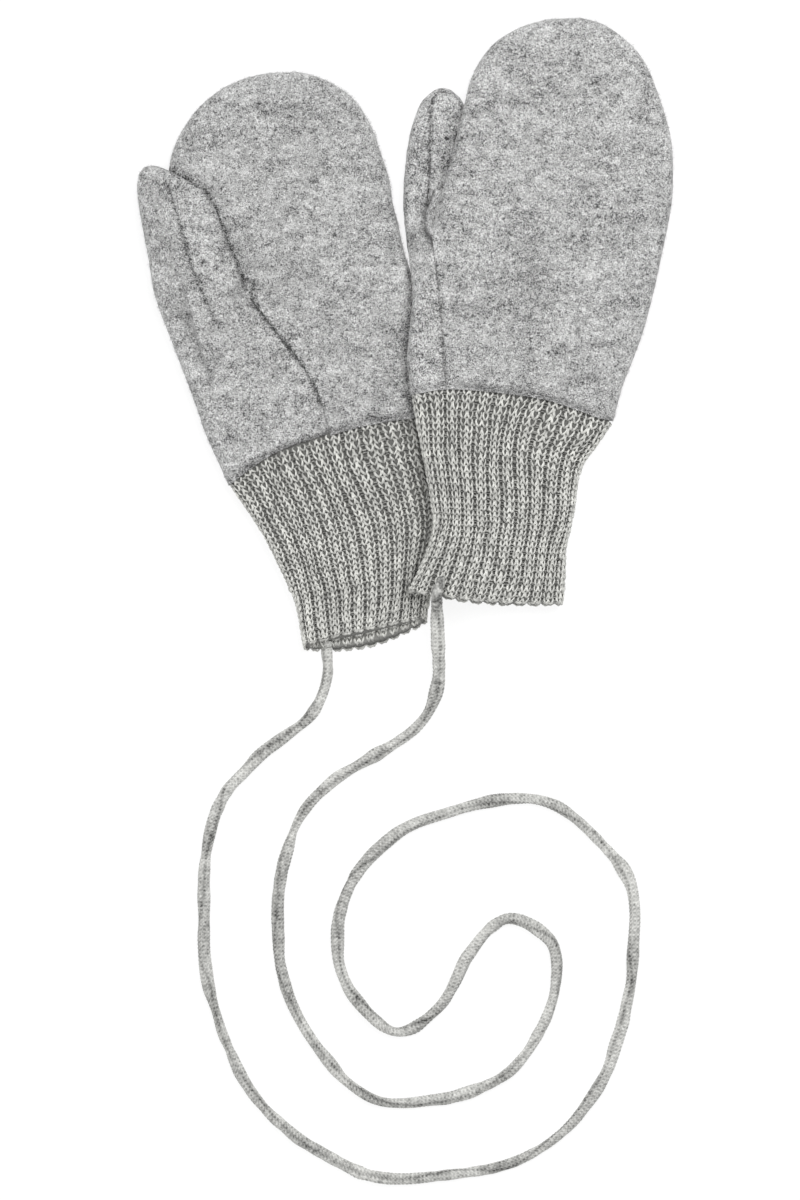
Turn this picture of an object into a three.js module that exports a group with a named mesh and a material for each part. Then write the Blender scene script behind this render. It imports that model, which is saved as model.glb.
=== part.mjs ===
// A pair of baby mittens in brushed wool, laid flat on a table with the cord that joins them.
// Sizes are in millimetres. +X is to the right, +Y toward the fingertips, +Z up off the table,
// and the origin is on the table under the middle of the two mittens.
// The left one lies palm up, with its thumb folded over the palm. The right one lies palm down on
// its thumb and on the edge of the left one.
import * as THREE from "three";

const WALL = 2.2; // brushed wool cloth
const HALF = 3.0; // half the thickness of a hand laid flat, also the radius of its edges
const CROWN = 0.8; // how much higher the middle of a hand swells
const CROWN_REACH = 18; // distance from the edge at which the swell is full
const THUMB_HALF = 2.6; // half the thickness of a thumb laid flat
const GAP = 0.3; // between two pieces at a seam
const CUFF_WALL = 2.0; // rib knit, from the top of a rib to the inside
const CUFF_HALF = 2.8; // half the thickness of a cuff laid flat
const RIBS = 24; // round each cuff
const RIB_DEPTH = 0.5;
const CROTCH_TAIL = 0.8; // cloth past the fold of the thumb where it leaves the hand
const CORD_RADIUS = 1.6;
const CORD_SIDES = 8;
const CORD_STEPS = 78;
// The middle of the two mittens, which the tables below miss by this much.
const MIDDLE = [0.05, 0.23];

const smooth = (t) => {
  const c = Math.min(Math.max(t, 0), 1);
  return c * c * (3 - 2 * c);
};
const mix = (a, b, t) => a + (b - a) * t;
const mix2 = (p, q, t) => [mix(p[0], q[0], t), mix(p[1], q[1], t)];
const less = (p, q) => [p[0] - q[0], p[1] - q[1]];
const plus = (p, q, t = 1) => [p[0] + q[0] * t, p[1] + q[1] * t];
const unit = (p) => [p[0] / Math.hypot(...p), p[1] / Math.hypot(...p)];

// Plan of the left mitten. Each row runs across the hand, from the cuff seam to the fingertips:
// the left edge of the palm panel and of the back panel, then the right edge of both. Up to the
// thumb those left edges are the two seams of the thumb gusset, and past it the side of the hand.
const LEFT_HAND = [
  { palm: [-19.9, -26.0], back: [-37.9, -32.6], far: [6.6, -20.7] },
  { palm: [-22.8, -16.7], back: [-43.2, -24.4], far: [6.4, -13.5] },
  { palm: [-26.8, -8.7], back: [-48.0, -13.5], far: [5.8, -6.6] },
  { palm: [-32.3, -1.6], back: [-52.7, -3.2], far: [5.0, 0.3] },
  { palm: [-37.4, 4.8], back: [-55.7, 4.0], far: [4.2, 6.1] },
  { palm: [-40.6, 9.7], back: [-57.5, 8.5], far: [3.2, 11.4] },
  { palm: [-41.0, 14.0], back: [-58.6, 11.4], far: [1.6, 16.4] },
  { palm: [-50.2, 16.3], back: [-59.1, 13.5], far: [0.0, 21.2] },
  { palm: [-59.9, 17.6], back: [-59.6, 15.9], far: [-1.1, 25.7] },
  { palm: [-61.7, 22.0], back: [-61.7, 22.0], far: [-1.9, 29.9] },
  { palm: [-63.1, 29.9], back: [-63.1, 29.9], far: [-3.2, 34.7] },
  { palm: [-63.1, 38.4], back: [-63.1, 38.4], far: [-4.2, 41.1] },
  { palm: [-62.0, 46.9], back: [-62.0, 46.9], far: [-6.4, 48.2] },
  { palm: [-59.4, 53.5], back: [-59.4, 53.5], far: [-9.0, 55.4] },
  { palm: [-54.9, 59.9], back: [-54.9, 59.9], far: [-13.5, 62.3] },
  { palm: [-48.5, 65.2], back: [-48.5, 65.2], far: [-19.6, 66.8] },
  { palm: [-41.9, 68.1], back: [-41.9, 68.1], far: [-25.2, 69.0] },
  { palm: [-36.8, 69.3], back: [-36.8, 69.3], far: [-28.9, 69.7] },
];
const RIGHT_HAND = [
  { palm: [28.6, -14.8], back: [10.9, -13.8], far: [54.9, -25.2] },
  { palm: [33.4, -7.2], back: [10.3, -7.2], far: [57.5, -14.0] },
  { palm: [32.9, -0.8], back: [9.8, 0.5], far: [60.4, -6.6] },
  { palm: [31.3, 6.1], back: [9.3, 8.2], far: [62.8, 0.0] },
  { palm: [28.4, 13.2], back: [8.5, 15.4], far: [64.7, 6.6] },
  { palm: [26.8, 19.5], back: [7.7, 22.0], far: [66.2, 12.7] },
  { palm: [26.9, 27.3], back: [7.2, 25.7], far: [67.3, 17.8] },
  { palm: [16.7, 32.6], back: [7.2, 28.6], far: [68.4, 23.1] },
  { palm: [8.7, 34.8], back: [8.7, 33.9], far: [69.7, 29.2] },
  { palm: [10.6, 40.8], back: [10.6, 40.8], far: [70.8, 36.3] },
  { palm: [12.5, 48.0], back: [12.5, 48.0], far: [71.0, 44.3] },
  { palm: [14.3, 55.1], back: [14.3, 55.1], far: [70.5, 51.7] },
  { palm: [15.9, 61.7], back: [15.9, 61.7], far: [68.9, 58.3] },
  { palm: [17.2, 67.0], back: [17.2, 67.0], far: [66.8, 64.7] },
  { palm: [19.9, 72.6], back: [19.9, 72.6], far: [63.6, 72.1] },
  { palm: [24.4, 77.9], back: [24.4, 77.9], far: [59.1, 77.6] },
  { palm: [31.5, 81.9], back: [31.5, 81.9], far: [52.7, 82.2] },
  { palm: [38.2, 83.7], back: [38.2, 83.7], far: [46.6, 84.0] },
];
const HAND_FROM_ROW = 8; // the first row in which both left edges are the side of the hand

// The gusset and thumb, one piece of cloth. Each row runs from its edge on the back of the hand,
// round the outer side (edge), over to the inner side (fold), and on to its edge on the palm side.
// turn: how far it has folded under at the fold, in half turns. lift: how far it has left the level
// of the hand. free: how far its two cloth edges have, which meet in the seam up the thumb.
const LEFT_THUMB = [
  { edge: [-46.9, -39.2], fold: [-29.4, -29.7], palm: [-19.9, -26.0], back: [-37.9, -32.6],
    turn: 0, lift: 0, free: 0 },
  { edge: [-52.5, -27.0], fold: [-32.6, -20.1], palm: [-22.8, -16.7], back: [-43.2, -24.4],
    turn: 0, lift: 0, free: 0 },
  { edge: [-57.0, -14.6], fold: [-35.8, -10.6], palm: [-26.8, -8.7], back: [-48.0, -13.5],
    turn: 0, lift: 0.1, free: 0 },
  { edge: [-61.2, -3.4], fold: [-41.1, -2.1], palm: [-32.3, -1.6], back: [-52.7, -3.2],
    turn: 0, lift: 0.35, free: 0 },
  { edge: [-64.1, 4.0], fold: [-43.7, 4.8], palm: [-37.4, 4.8], back: [-55.7, 4.0],
    turn: 0, lift: 0.7, free: 0 },
  { edge: [-65.7, 8.7], fold: [-43.7, 9.4], palm: [-41.1, 9.5], back: [-57.5, 8.5],
    turn: 0, lift: 0.92, free: 0 },
  { edge: [-66.8, 12.5], fold: [-42.3, 12.0], palm: [-42.3, 12.0], back: [-58.8, 11.7],
    turn: 0.5, lift: 1, free: 0.5 },
  { edge: [-67.3, 15.6], fold: [-43.5, 15.4], palm: [-51.1, 15.1], back: [-59.6, 15.4],
    turn: 1, lift: 1, free: 1 },
  { edge: [-67.8, 19.3], fold: [-44.8, 19.3], palm: [-60.1, 19.3], back: [-60.4, 19.3],
    turn: 1, lift: 1, free: 1 },
  { edge: [-68.9, 25.2], fold: [-47.4, 25.2], palm: [-61.4, 25.2], back: [-61.7, 25.2],
    turn: 1, lift: 1, free: 1 },
  { edge: [-70.2, 32.1], fold: [-50.1, 32.6], palm: [-62.8, 32.1], back: [-63.1, 32.1],
    turn: 1, lift: 1, free: 1 },
  { edge: [-70.9, 37.6], fold: [-53.5, 38.2], palm: [-63.8, 37.6], back: [-64.1, 37.6],
    turn: 1, lift: 1, free: 1 },
  { edge: [-70.8, 40.8], fold: [-57.8, 40.8], palm: [-64.9, 40.8], back: [-65.2, 40.8],
    turn: 1, lift: 1, free: 1 },
  { edge: [-70.4, 42.8], fold: [-61.2, 42.7], palm: [-65.7, 42.7], back: [-66.0, 42.7],
    turn: 1, lift: 1, free: 1 },
  { edge: [-69.2, 44.3], fold: [-63.9, 44.0], palm: [-66.2, 44.1], back: [-66.5, 44.1],
    turn: 1, lift: 1, free: 1 },
];
const RIGHT_THUMB = [
  { edge: [1.6, -15.1], fold: [19.1, -14.0], palm: [28.6, -14.8], back: [10.9, -13.8],
    turn: 0, lift: 0, free: 0 },
  { edge: [0.5, -7.2], fold: [22.5, -7.2], palm: [33.4, -7.2], back: [10.3, -7.2],
    turn: 0, lift: 0, free: 0 },
  { edge: [1.1, 0.8], fold: [22.0, 0.0], palm: [32.9, -0.8], back: [9.8, 0.5],
    turn: 0, lift: 0, free: 0 },
  { edge: [1.9, 8.5], fold: [21.5, 7.4], palm: [31.3, 6.1], back: [9.3, 8.2],
    turn: 0, lift: 0.03, free: 0 },
  { edge: [1.6, 15.6], fold: [20.9, 14.0], palm: [28.4, 13.2], back: [8.5, 15.4],
    turn: 0, lift: 0.25, free: 0 },
  { edge: [0.8, 22.0], fold: [23.6, 19.6], palm: [26.2, 19.3], back: [7.7, 22.0],
    turn: 0, lift: 0.7, free: 0 },
  { edge: [0.3, 25.7], fold: [25.2, 23.9], palm: [25.2, 23.9], back: [7.2, 25.7],
    turn: 0.5, lift: 1, free: 0.5 },
  { edge: [-0.1, 29.4], fold: [24.1, 28.1], palm: [16.2, 28.6], back: [6.6, 29.2],
    turn: 1, lift: 1, free: 1 },
  { edge: [-0.4, 34.2], fold: [22.8, 33.7], palm: [6.5, 34.2], back: [6.2, 34.2],
    turn: 1, lift: 1, free: 1 },
  { edge: [-0.3, 41.1], fold: [20.9, 41.1], palm: [6.6, 41.1], back: [6.3, 41.1],
    turn: 1, lift: 1, free: 1 },
  { edge: [0.5, 48.5], fold: [19.1, 49.0], palm: [6.8, 48.8], back: [6.5, 48.8],
    turn: 1, lift: 1, free: 1 },
  { edge: [1.9, 55.7], fold: [17.5, 55.4], palm: [6.9, 55.7], back: [6.6, 55.7],
    turn: 1, lift: 1, free: 1 },
  { edge: [3.6, 60.4], fold: [15.9, 60.2], palm: [7.2, 60.4], back: [6.9, 60.4],
    turn: 1, lift: 1, free: 1 },
  { edge: [5.3, 62.9], fold: [14.6, 62.8], palm: [7.9, 62.9], back: [7.6, 62.9],
    turn: 1, lift: 1, free: 1 },
  { edge: [7.7, 64.9], fold: [12.5, 64.7], palm: [10.0, 64.8], back: [9.7, 64.8],
    turn: 1, lift: 1, free: 1 },
];
const CROTCH_ROW = 6; // the row in which the thumb leaves the hand

// The two side edges of each cuff, from the cuff seam to the hem.
const LEFT_CUFF = [
  { near: [-46.6, -39.8], far: [6.9, -21.2] },
  { near: [-43.2, -44.8], far: [7.7, -27.8] },
  { near: [-39.8, -49.8], far: [8.7, -34.5] },
  { near: [-36.8, -55.1], far: [9.8, -41.1] },
  { near: [-34.2, -60.2], far: [10.3, -47.4] },
  { near: [-31.8, -65.2], far: [9.5, -54.3] },
  { near: [-29.4, -70.5], far: [8.2, -61.0] },
  { near: [-28.1, -76.1], far: [6.9, -68.1] },
  { near: [-27.3, -81.9], far: [5.8, -74.5] },
];
const RIGHT_CUFF = [
  { near: [1.6, -15.7], far: [54.4, -26.0] },
  { near: [2.7, -22.5], far: [50.9, -29.7] },
  { near: [4.0, -29.4], far: [47.4, -34.7] },
  { near: [5.3, -36.6], far: [45.8, -40.5] },
  { near: [6.6, -43.7], far: [45.1, -46.4] },
  { near: [7.2, -49.6], far: [44.0, -51.9] },
  { near: [6.1, -55.7], far: [42.9, -57.8] },
  { near: [3.7, -61.7], far: [42.7, -64.4] },
  { near: [0.8, -67.3], far: [42.1, -70.8] },
];

// The cuff seams, from the outer side of the gusset to the far edge of the hand.
const LEFT_SEAM = [
  [-46.9, -39.2], [-35.8, -31.8], [-25.2, -27.8], [-15.9, -24.6], [-6.6, -22.5], [2.1, -21.3], [6.6, -20.7],
];
const RIGHT_SEAM = [
  [1.6, -15.1], [9.3, -14.0], [19.9, -14.3], [35.8, -16.2], [45.1, -19.3], [51.7, -23.1], [54.9, -25.2],
];

// How high the right mitten is held up, along its length: fully left of `from`, not at all right
// of `to`. Its left margin lies on its own thumb and on the edge of the left mitten.
const RIGHT_BED = [
  { y: -72.9, from: 13.2, to: 34.5, lift: 6.1 },
  { y: -15.1, from: 12.5, to: 34.5, lift: 6.3 },
  { y: 9.3, from: 15.1, to: 37.1, lift: 6.4 },
  { y: 19.3, from: 22.5, to: 43.7, lift: 6.4 },
  { y: 28.9, from: 26.2, to: 46.4, lift: 6.2 },
  { y: 38.4, from: 23.3, to: 44.3, lift: 6.0 },
  { y: 49.0, from: 20.9, to: 42.4, lift: 5.9 },
  { y: 55.7, from: 19.1, to: 40.5, lift: 5.4 },
  { y: 61.0, from: 17.2, to: 38.4, lift: 4.0 },
  { y: 66.2, from: 15.1, to: 35.8, lift: 2.0 },
  { y: 72.9, from: 13.2, to: 34.5, lift: 0.8 },
  { y: 84.3, from: 9.3, to: 30.5, lift: 0.2 },
];

// Soft folds in the upper layer: middle, direction in degrees, half length, half width, depth.
// A depth below zero is a ridge.
const LEFT_FOLDS = [
  { at: [-14, 8], angle: 8, length: 20, width: 5, depth: 0.3 },
  { at: [-10, 18], angle: 4, length: 17, width: 4.5, depth: 0.25 },
  { at: [-20, -58], angle: 112, length: 22, width: 3.5, depth: 0.35 },
];
const RIGHT_FOLDS = [
  { at: [12.5, -46], angle: 86, length: 24, width: 3.6, depth: 0.6 },
  { at: [47, -31], angle: 128, length: 11, width: 4, depth: -0.5 },
  { at: [40, -34], angle: 122, length: 12, width: 3.5, depth: 0.4 },
  { at: [34, 4], angle: 172, length: 18, width: 5, depth: 0.25 },
];

// The cord, from the hem of the left cuff to the hem of the right one, seen from above.
const CORD_ROUTE = [
  [-20.9, -90.5], [-25.2, -101.0], [-36.8, -110.0], [-46.6, -120.8], [-51.9, -134.6],
  [-52.0, -173.0], [-37.6, -204.8], [-13.5, -221.5], [1.1, -223.9], [29.9, -218.6],
  [42.7, -210.7], [51.4, -199.3], [60.4, -168.0], [60.3, -151.0], [55.5, -138.4],
  [35.2, -123.5], [4.4, -128.7], [-8.6, -138.0], [-16.2, -150.5], [-17.8, -162.5],
  [-13.2, -175.7], [-2.1, -184.7], [9.8, -177.6], [17.0, -164.6], [27.3, -154.8],
  [39.2, -160.9], [39.2, -175.4], [33.4, -188.9], [22.5, -198.8], [-8.4, -202.0],
  [-29.4, -178.4], [-33.9, -155.0], [-31.5, -136.0], [-24.0, -122.4], [3.4, -103.8],
  [8.4, -93.0], [8.6, -80.5],
];

// A curve through the points of one column of a table; at(row) takes fractions of a row.
function track(rows, column) {
  const points = rows.map((row) => (Array.isArray(row) ? row : row[column]));
  const curve = new THREE.SplineCurve(points.map((p) => new THREE.Vector2(...p)));
  return (row) => curve.getPoint(Math.min(Math.max(row / (points.length - 1), 0), 1)).toArray();
}

function number(rows, column) {
  return (row) => {
    const r = Math.min(Math.max(row, 0), rows.length - 1);
    const k = Math.min(Math.floor(r), rows.length - 2);
    return mix(rows[k][column], rows[k + 1][column], r - k);
  };
}

// A wall between an outer and an inner grid of points, closed all round its edges.
// With `ring`, each row of the grids is a closed loop.
function wallBetween(outer, inner, ring = false) {
  const rows = outer.length;
  const across = outer[0].length;
  const half = rows * across;
  const index = [];
  const quad = (a, b, c, d) => index.push(a, b, c, a, c, d);
  const at = (layer, r, c) => layer * half + r * across + (c % across);
  const spans = ring ? across : across - 1;
  for (let r = 0; r < rows - 1; r += 1) {
    for (let c = 0; c < spans; c += 1) {
      quad(at(0, r, c), at(0, r, c + 1), at(0, r + 1, c + 1), at(0, r + 1, c));
      quad(at(1, r, c), at(1, r + 1, c), at(1, r + 1, c + 1), at(1, r, c + 1));
    }
  }
  for (let c = 0; c < spans; c += 1) {
    quad(at(0, 0, c), at(1, 0, c), at(1, 0, c + 1), at(0, 0, c + 1));
    quad(at(0, rows - 1, c), at(0, rows - 1, c + 1), at(1, rows - 1, c + 1), at(1, rows - 1, c));
  }
  for (let r = 0; r < rows - 1 && !ring; r += 1) {
    quad(at(0, r, 0), at(0, r + 1, 0), at(1, r + 1, 0), at(1, r, 0));
    quad(at(0, r, across - 1), at(1, r, across - 1), at(1, r + 1, across - 1), at(0, r + 1, across - 1));
  }
  const position = [...outer.flat(), ...inner.flat()];
  let volume = 0;
  for (let i = 0; i < index.length; i += 3) {
    const [a, b, c] = [0, 1, 2].map((k) => new THREE.Vector3(...position[index[i + k]]));
    volume += a.dot(b.cross(c)) / 6;
  }
  if (volume < 0) index.reverse();
  const geometry = new THREE.BufferGeometry();
  geometry.setAttribute("position", new THREE.Float32BufferAttribute(position.flat(), 3));
  geometry.setIndex(index);
  geometry.computeVertexNormals();
  return geometry;
}

// One mitten: its curves, and what depends on where a point is seen from above.
function mitten(spec) {
  const { hand, thumb } = spec;
  const seamCurve = new THREE.SplineCurve(spec.seam.map((p) => new THREE.Vector2(...p)));
  const m = {
    ...spec,
    palm: track(hand, "palm"),
    back: track(hand, "back"),
    far: track(hand, "far"),
    outerEdge: track(thumb, "edge"),
    fold: track(thumb, "fold"),
    thumbPalm: track(thumb, "palm"),
    thumbBack: track(thumb, "back"),
    turn: number(thumb, "turn"),
    lift: number(thumb, "lift"),
    free: number(thumb, "free"),
    seam: (u) => seamCurve.getPointAt(Math.min(Math.max(u, 0), 1)).toArray(), // by its length, 0 to 1
  };
  const last = hand.length - 1;
  const seamPoints = Array.from({ length: 13 }, (_, k) => m.seam(k / 12));
  const rim = [];
  for (let r = HAND_FROM_ROW - 1; r < last; r += 0.2) rim.push(m.back(r));
  for (let r = last; r > -0.01; r -= 0.2) rim.push(m.far(r));
  const side = [];
  for (let r = 0; r < CROTCH_ROW + 0.01; r += 0.2) side.push(m.outerEdge(r));
  // Distance to the edge of the flat hand, and the direction away from that edge.
  m.edgeAt = (p) => {
    let best = { distance: Infinity, inward: [0, 0] };
    for (const line of [rim, side]) {
      for (let k = 0; k < line.length - 1; k += 1) {
        const span = less(line[k + 1], line[k]);
        const reach = less(p, line[k]);
        const t = (reach[0] * span[0] + reach[1] * span[1]) / (span[0] ** 2 + span[1] ** 2);
        const away = less(p, plus(line[k], span, Math.min(Math.max(t, 0), 1)));
        const distance = Math.hypot(...away);
        if (distance < best.distance) {
          const normal = unit([span[1], -span[0]]);
          best = { distance, inward: distance > 0.4 ? unit(away) : normal };
        }
      }
    }
    return best;
  };
  m.crown = (p, distance) => {
    const seam = Math.min(...seamPoints.map((s) => Math.hypot(...less(p, s))));
    return CROWN * smooth(distance / CROWN_REACH) * smooth(0.25 + seam / CROWN_REACH);
  };
  // Where on the cuff seam a point of it lies.
  m.seamPlace = (p) => {
    let place = 0;
    const off = (u) => Math.hypot(...less(m.seam(u), p));
    for (let k = 0; k <= 500; k += 1) if (off(k / 500) < off(place)) place = k / 500;
    return place;
  };
  m.folded = (p) => {
    let depth = 0;
    for (const f of m.folds) {
      const [dx, dy] = less(p, f.at);
      const [c, s] = [Math.cos((f.angle * Math.PI) / 180), Math.sin((f.angle * Math.PI) / 180)];
      const along = (dx * c + dy * s) / f.length;
      const across = (dy * c - dx * s) / f.width;
      depth += f.depth * smooth(1 - Math.abs(along)) * smooth(1 - Math.abs(across));
    }
    return depth;
  };
  return m;
}

function rightBed([x, y]) {
  const table = RIGHT_BED;
  let k = 0;
  while (k < table.length - 2 && y > table[k + 1].y) k += 1;
  const t = Math.min(Math.max((y - table[k].y) / (table[k + 1].y - table[k].y), 0), 1);
  const [from, to, lift] = ["from", "to", "lift"].map((c) => mix(table[k][c], table[k + 1][c], t));
  return lift * (1 - smooth((x - from) / (to - from)));
}

const left = mitten({
  hand: LEFT_HAND,
  thumb: LEFT_THUMB,
  cuff: LEFT_CUFF,
  seam: LEFT_SEAM,
  folds: LEFT_FOLDS,
  hemSlip: 1.8, // how far the hem of the lower layer shows past that of the upper one
  hemBow: 1.6,
  palmSide: 1, // palm up
  bed: () => 0,
});
// The thumb rests on the palm and droops past the side of the hand.
left.thumbMiddle = (p) => {
  const { distance, inward } = left.handSide(p);
  const inside = inward ? distance : -distance;
  return mix(4.0, 2 * HALF + CROWN + 0.4 + THUMB_HALF, smooth((inside + 8) / 11.5));
};
const leftSide = Array.from({ length: 40 }, (_, k) => left.back(HAND_FROM_ROW - 2 + k * 0.2));
left.handSide = (p) => {
  let best = { distance: Infinity, inward: true };
  for (let k = 0; k < leftSide.length - 1; k += 1) {
    const span = less(leftSide[k + 1], leftSide[k]);
    const reach = less(p, leftSide[k]);
    const t = (reach[0] * span[0] + reach[1] * span[1]) / (span[0] ** 2 + span[1] ** 2);
    const away = less(p, plus(leftSide[k], span, Math.min(Math.max(t, 0), 1)));
    const distance = Math.hypot(...away);
    if (distance < best.distance) best = { distance, inward: away[0] * span[1] - away[1] * span[0] > 0 };
  }
  return best;
};

const right = mitten({
  hand: RIGHT_HAND,
  thumb: RIGHT_THUMB,
  cuff: RIGHT_CUFF,
  seam: RIGHT_SEAM,
  folds: RIGHT_FOLDS,
  hemSlip: 0.8,
  hemBow: 1.9,
  palmSide: -1, // palm down
  bed: rightBed,
});
right.thumbMiddle = () => THUMB_HALF;

// Fractions across or along a panel: close together where its edge rounds over, even between.
function spread(length, steps, { start = true, end = true } = {}) {
  const edge = [0, 0.13, 0.5].map((s) => (s * HALF) / length);
  const from = start ? [...edge, HALF / length] : [0];
  const to = end ? [...edge, HALF / length].map((s) => 1 - s).reverse() : [1];
  const first = from[from.length - 1];
  const inner = Array.from({ length: steps - 1 }, (_, k) => mix(first, to[0], (k + 1) / steps));
  return [...from, ...inner, ...to];
}

// A palm or back panel. `up` is 1 for the upper of the two layers and -1 for the lower.
function panel(m, nearTrack, up) {
  const start = m.seamPlace(nearTrack(0)); // where on the cuff seam this panel starts
  const ROWS = [0, 1, 2, 3, 4, 5, 5.6, 6.2, 6.8, 7.4, 8, 9, 10, 11.5, 13, 14.3, 15.2, 15.9, 16.5, 17];
  const outer = [];
  const inner = [];
  for (const row of ROWS) {
    const farPoint = m.far(row);
    const joined = smooth(HAND_FROM_ROW - 0.5 - row); // 1 where the near edge is sewn to the gusset
    const direction = unit(less(farPoint, nearTrack(row)));
    const near = plus(nearTrack(row), direction, (GAP / 2) * joined);
    const width = Math.hypot(...less(farPoint, near));
    const bend = Math.max(0, 1 - row / 3) ** 2;
    const outerRow = [];
    const innerRow = [];
    for (const f of spread(width, 6)) {
      let p = mix2(near, farPoint, f);
      const onSeam = m.seam(mix(start, 1, f));
      const chord = mix2(m.seam(start), m.seam(1), f);
      p = plus(p, less(onSeam, chord), bend);
      if (row === 0) p = plus(p, m.along, GAP / 2);
      const { distance, inward } = m.edgeAt(p);
      const flat = Math.min(distance / HALF, 1);
      const round = Math.sqrt(1 - (1 - flat) ** 2);
      const q = plus(p, inward, WALL * (1 - flat));
      const top = HALF + (up > 0 ? m.crown(p, distance) : 0);
      const middle = (s) => m.bed(s) + HALF - (up > 0 ? m.folded(s) * round : 0);
      outerRow.push([...p, middle(p) + up * mix(GAP / 2, top, round)]);
      innerRow.push([...q, middle(q) + up * mix(GAP / 2, top - WALL, round)]);
    }
    outer.push(outerRow);
    inner.push(innerRow);
  }
  return wallBetween(outer, inner);
}

// The gusset and thumb.
function thumbPiece(m) {
  const last = m.thumb.length - 1;
  // Distance from the tip, by row.
  const middle = (row) => mix2(m.outerEdge(row), m.fold(row), 0.5);
  const toTip = [];
  for (let k = 0; k <= last * 10; k += 1) {
    const step = less(middle(last - k / 10), middle(last - Math.max(k - 1, 0) / 10));
    toTip.push((toTip[k - 1] ?? 0) + Math.hypot(...step));
  }
  const distanceOf = (row) => toTip[Math.round((last - row) * 10)];
  const rowAt = (distance) => {
    let k = 0;
    while (k < toTip.length - 2 && toTip[k + 1] < distance) k += 1;
    return last - (k + (distance - toTip[k]) / (toTip[k + 1] - toTip[k])) / 10;
  };
  const FAR = 99; // farther from that cloth edge than it matters
  const backOnSeam = m.seamPlace(m.thumbBack(0));
  const palmOnSeam = m.seamPlace(m.thumbPalm(0));
  // One section: points round the wall at `depth` in from its outer face.
  function section(row, depth, round) {
    const e = m.outerEdge(row);
    const f = m.fold(row);
    const lift = m.lift(row);
    const free = m.free(row);
    const turn = m.turn(row);
    const seamEnd = row < CROTCH_ROW ? GAP / 2 : 0;
    const half = mix(HALF, THUMB_HALF, lift);
    const radius = half - depth;
    const direction = unit(less(f, e));
    const width = Math.hypot(...less(f, e));
    const back = plus(m.thumbBack(row), unit(less(e, m.thumbBack(row))), seamEnd);
    const palm = plus(m.thumbPalm(row), unit(less(e, m.thumbPalm(row))), seamEnd);
    // The turn round the outer side narrows toward the tip, where little cloth is left.
    const turnWidth = Math.min(half, 0.42 * width, 0.9 * Math.hypot(...less(back, e)));
    const turnRadius = Math.max(turnWidth - depth, 0.2);
    const centre = plus(e, direction, turnWidth);
    const points = [];
    const bend = Math.max(0, 1 - row / 3) ** 2;
    // Near the cuff the section bends with the cuff seam: `end` is the cloth edge it runs to.
    const bowed = (p, end, onSeam) => {
      const t = Math.min(Math.hypot(...less(p, e)) / Math.hypot(...less(end, e)), 1);
      return plus(p, less(m.seam(onSeam * t), mix2(m.seam(0), m.seam(onSeam), t)), bend);
    };
    // fromBack and fromPalm: distance along the cloth from each of its edges.
    const add = (p, height, fromBack, fromPalm) => {
      const onBack = fromPalm === FAR && height < 0;
      let q = bowed(p, onBack ? back : palm, onBack ? backOnSeam : palmOnSeam);
      if (row === 0) q = plus(q, m.along, GAP / 2);
      points.push({ p: q, height, fromBack, fromPalm });
    };
    const BACK_STEPS = 3;
    const backLength = Math.hypot(...less(back, centre));
    for (let k = 0; k < BACK_STEPS; k += 1) {
      const t = k / BACK_STEPS;
      add(mix2(back, centre, t), -radius, backLength * t, FAR);
    }
    const EDGE_STEPS = 6;
    for (let k = 0; k <= EDGE_STEPS; k += 1) {
      const a = (Math.PI * k) / EDGE_STEPS;
      const p = plus(centre, direction, -turnRadius * Math.sin(a));
      add(p, -radius * Math.cos(a), backLength + half * a, FAR);
    }
    const foldWidth = Math.min(half, 0.42 * width);
    const start = plus(f, direction, -foldWidth * Math.min(1, 2 * turn));
    const foldRadius = Math.max(foldWidth - depth, 0.2);
    const angle = Math.PI * turn;
    // At the crotch hardly any cloth hangs past the fold.
    const reach = Math.hypot(...less(palm, start));
    const tail = mix(reach, CROTCH_TAIL, 1 - Math.abs(2 * turn - 1));
    const palmLength = half * angle + tail;
    const TOP_STEPS = 6;
    const topLength = Math.hypot(...less(start, centre));
    for (let k = 1; k <= TOP_STEPS; k += 1) {
      const t = k / TOP_STEPS;
      add(mix2(centre, start, t), radius, FAR, palmLength + topLength * (1 - t));
    }
    const TAIL_STEPS = 8;
    const tailWay = turn < 0.5 ? unit(less(palm, e)) : direction;
    for (let k = 1; k <= TAIL_STEPS; k += 1) {
      const s = (palmLength * k) / TAIL_STEPS;
      const a = Math.min(s / half, angle);
      const run = Math.max(s - half * angle, 0);
      let p = plus(start, tailWay, foldRadius * Math.sin(a) + run * Math.cos(angle));
      if (turn === 1 && run > 0) p = mix2(start, palm, run / tail);
      add(p, radius * Math.cos(a) - run * Math.sin(angle), FAR, palmLength - s);
    }
    return points.map(({ p, height, fromBack, fromPalm }) => {
      const level = lift * Math.max(free, Math.min(smooth(fromBack / 7), smooth(fromPalm / 8)));
      const { distance } = m.edgeAt(p);
      const onHand = height * m.palmSide > 0 ? 1 - lift * Math.max(free, smooth(fromPalm / 8)) : 0;
      const swell = onHand * (m.crown(p, distance) - m.folded(p));
      const z = mix(m.bed(p) + HALF, m.thumbMiddle(p), level);
      const rise = mix(Math.min(Math.max(height, -GAP / 2), GAP / 2), height, round);
      return [...p, z + m.palmSide * rise + swell * (Math.abs(height) / Math.max(radius, 0.01))];
    });
  }
  const ROWS = [0, 1, 2, 3, 4, 4.6, 5.2, 5.7, 6, 6.4, 6.8, 7.4, 8, 9, 10, 11, 12, 12.6, 13.2, 13.7, 14];
  const outer = [];
  const inner = [];
  for (const row of ROWS) {
    const distance = distanceOf(row);
    const flat = Math.min(distance / THUMB_HALF, 1);
    const round = Math.sqrt(1 - (1 - flat) ** 2);
    const innerRow = rowAt(distance + WALL * (1 - flat));
    outer.push(section(row, 0, round));
    inner.push(section(flat < 1 ? innerRow : row, WALL, round));
  }
  return wallBetween(outer, inner);
}

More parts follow.
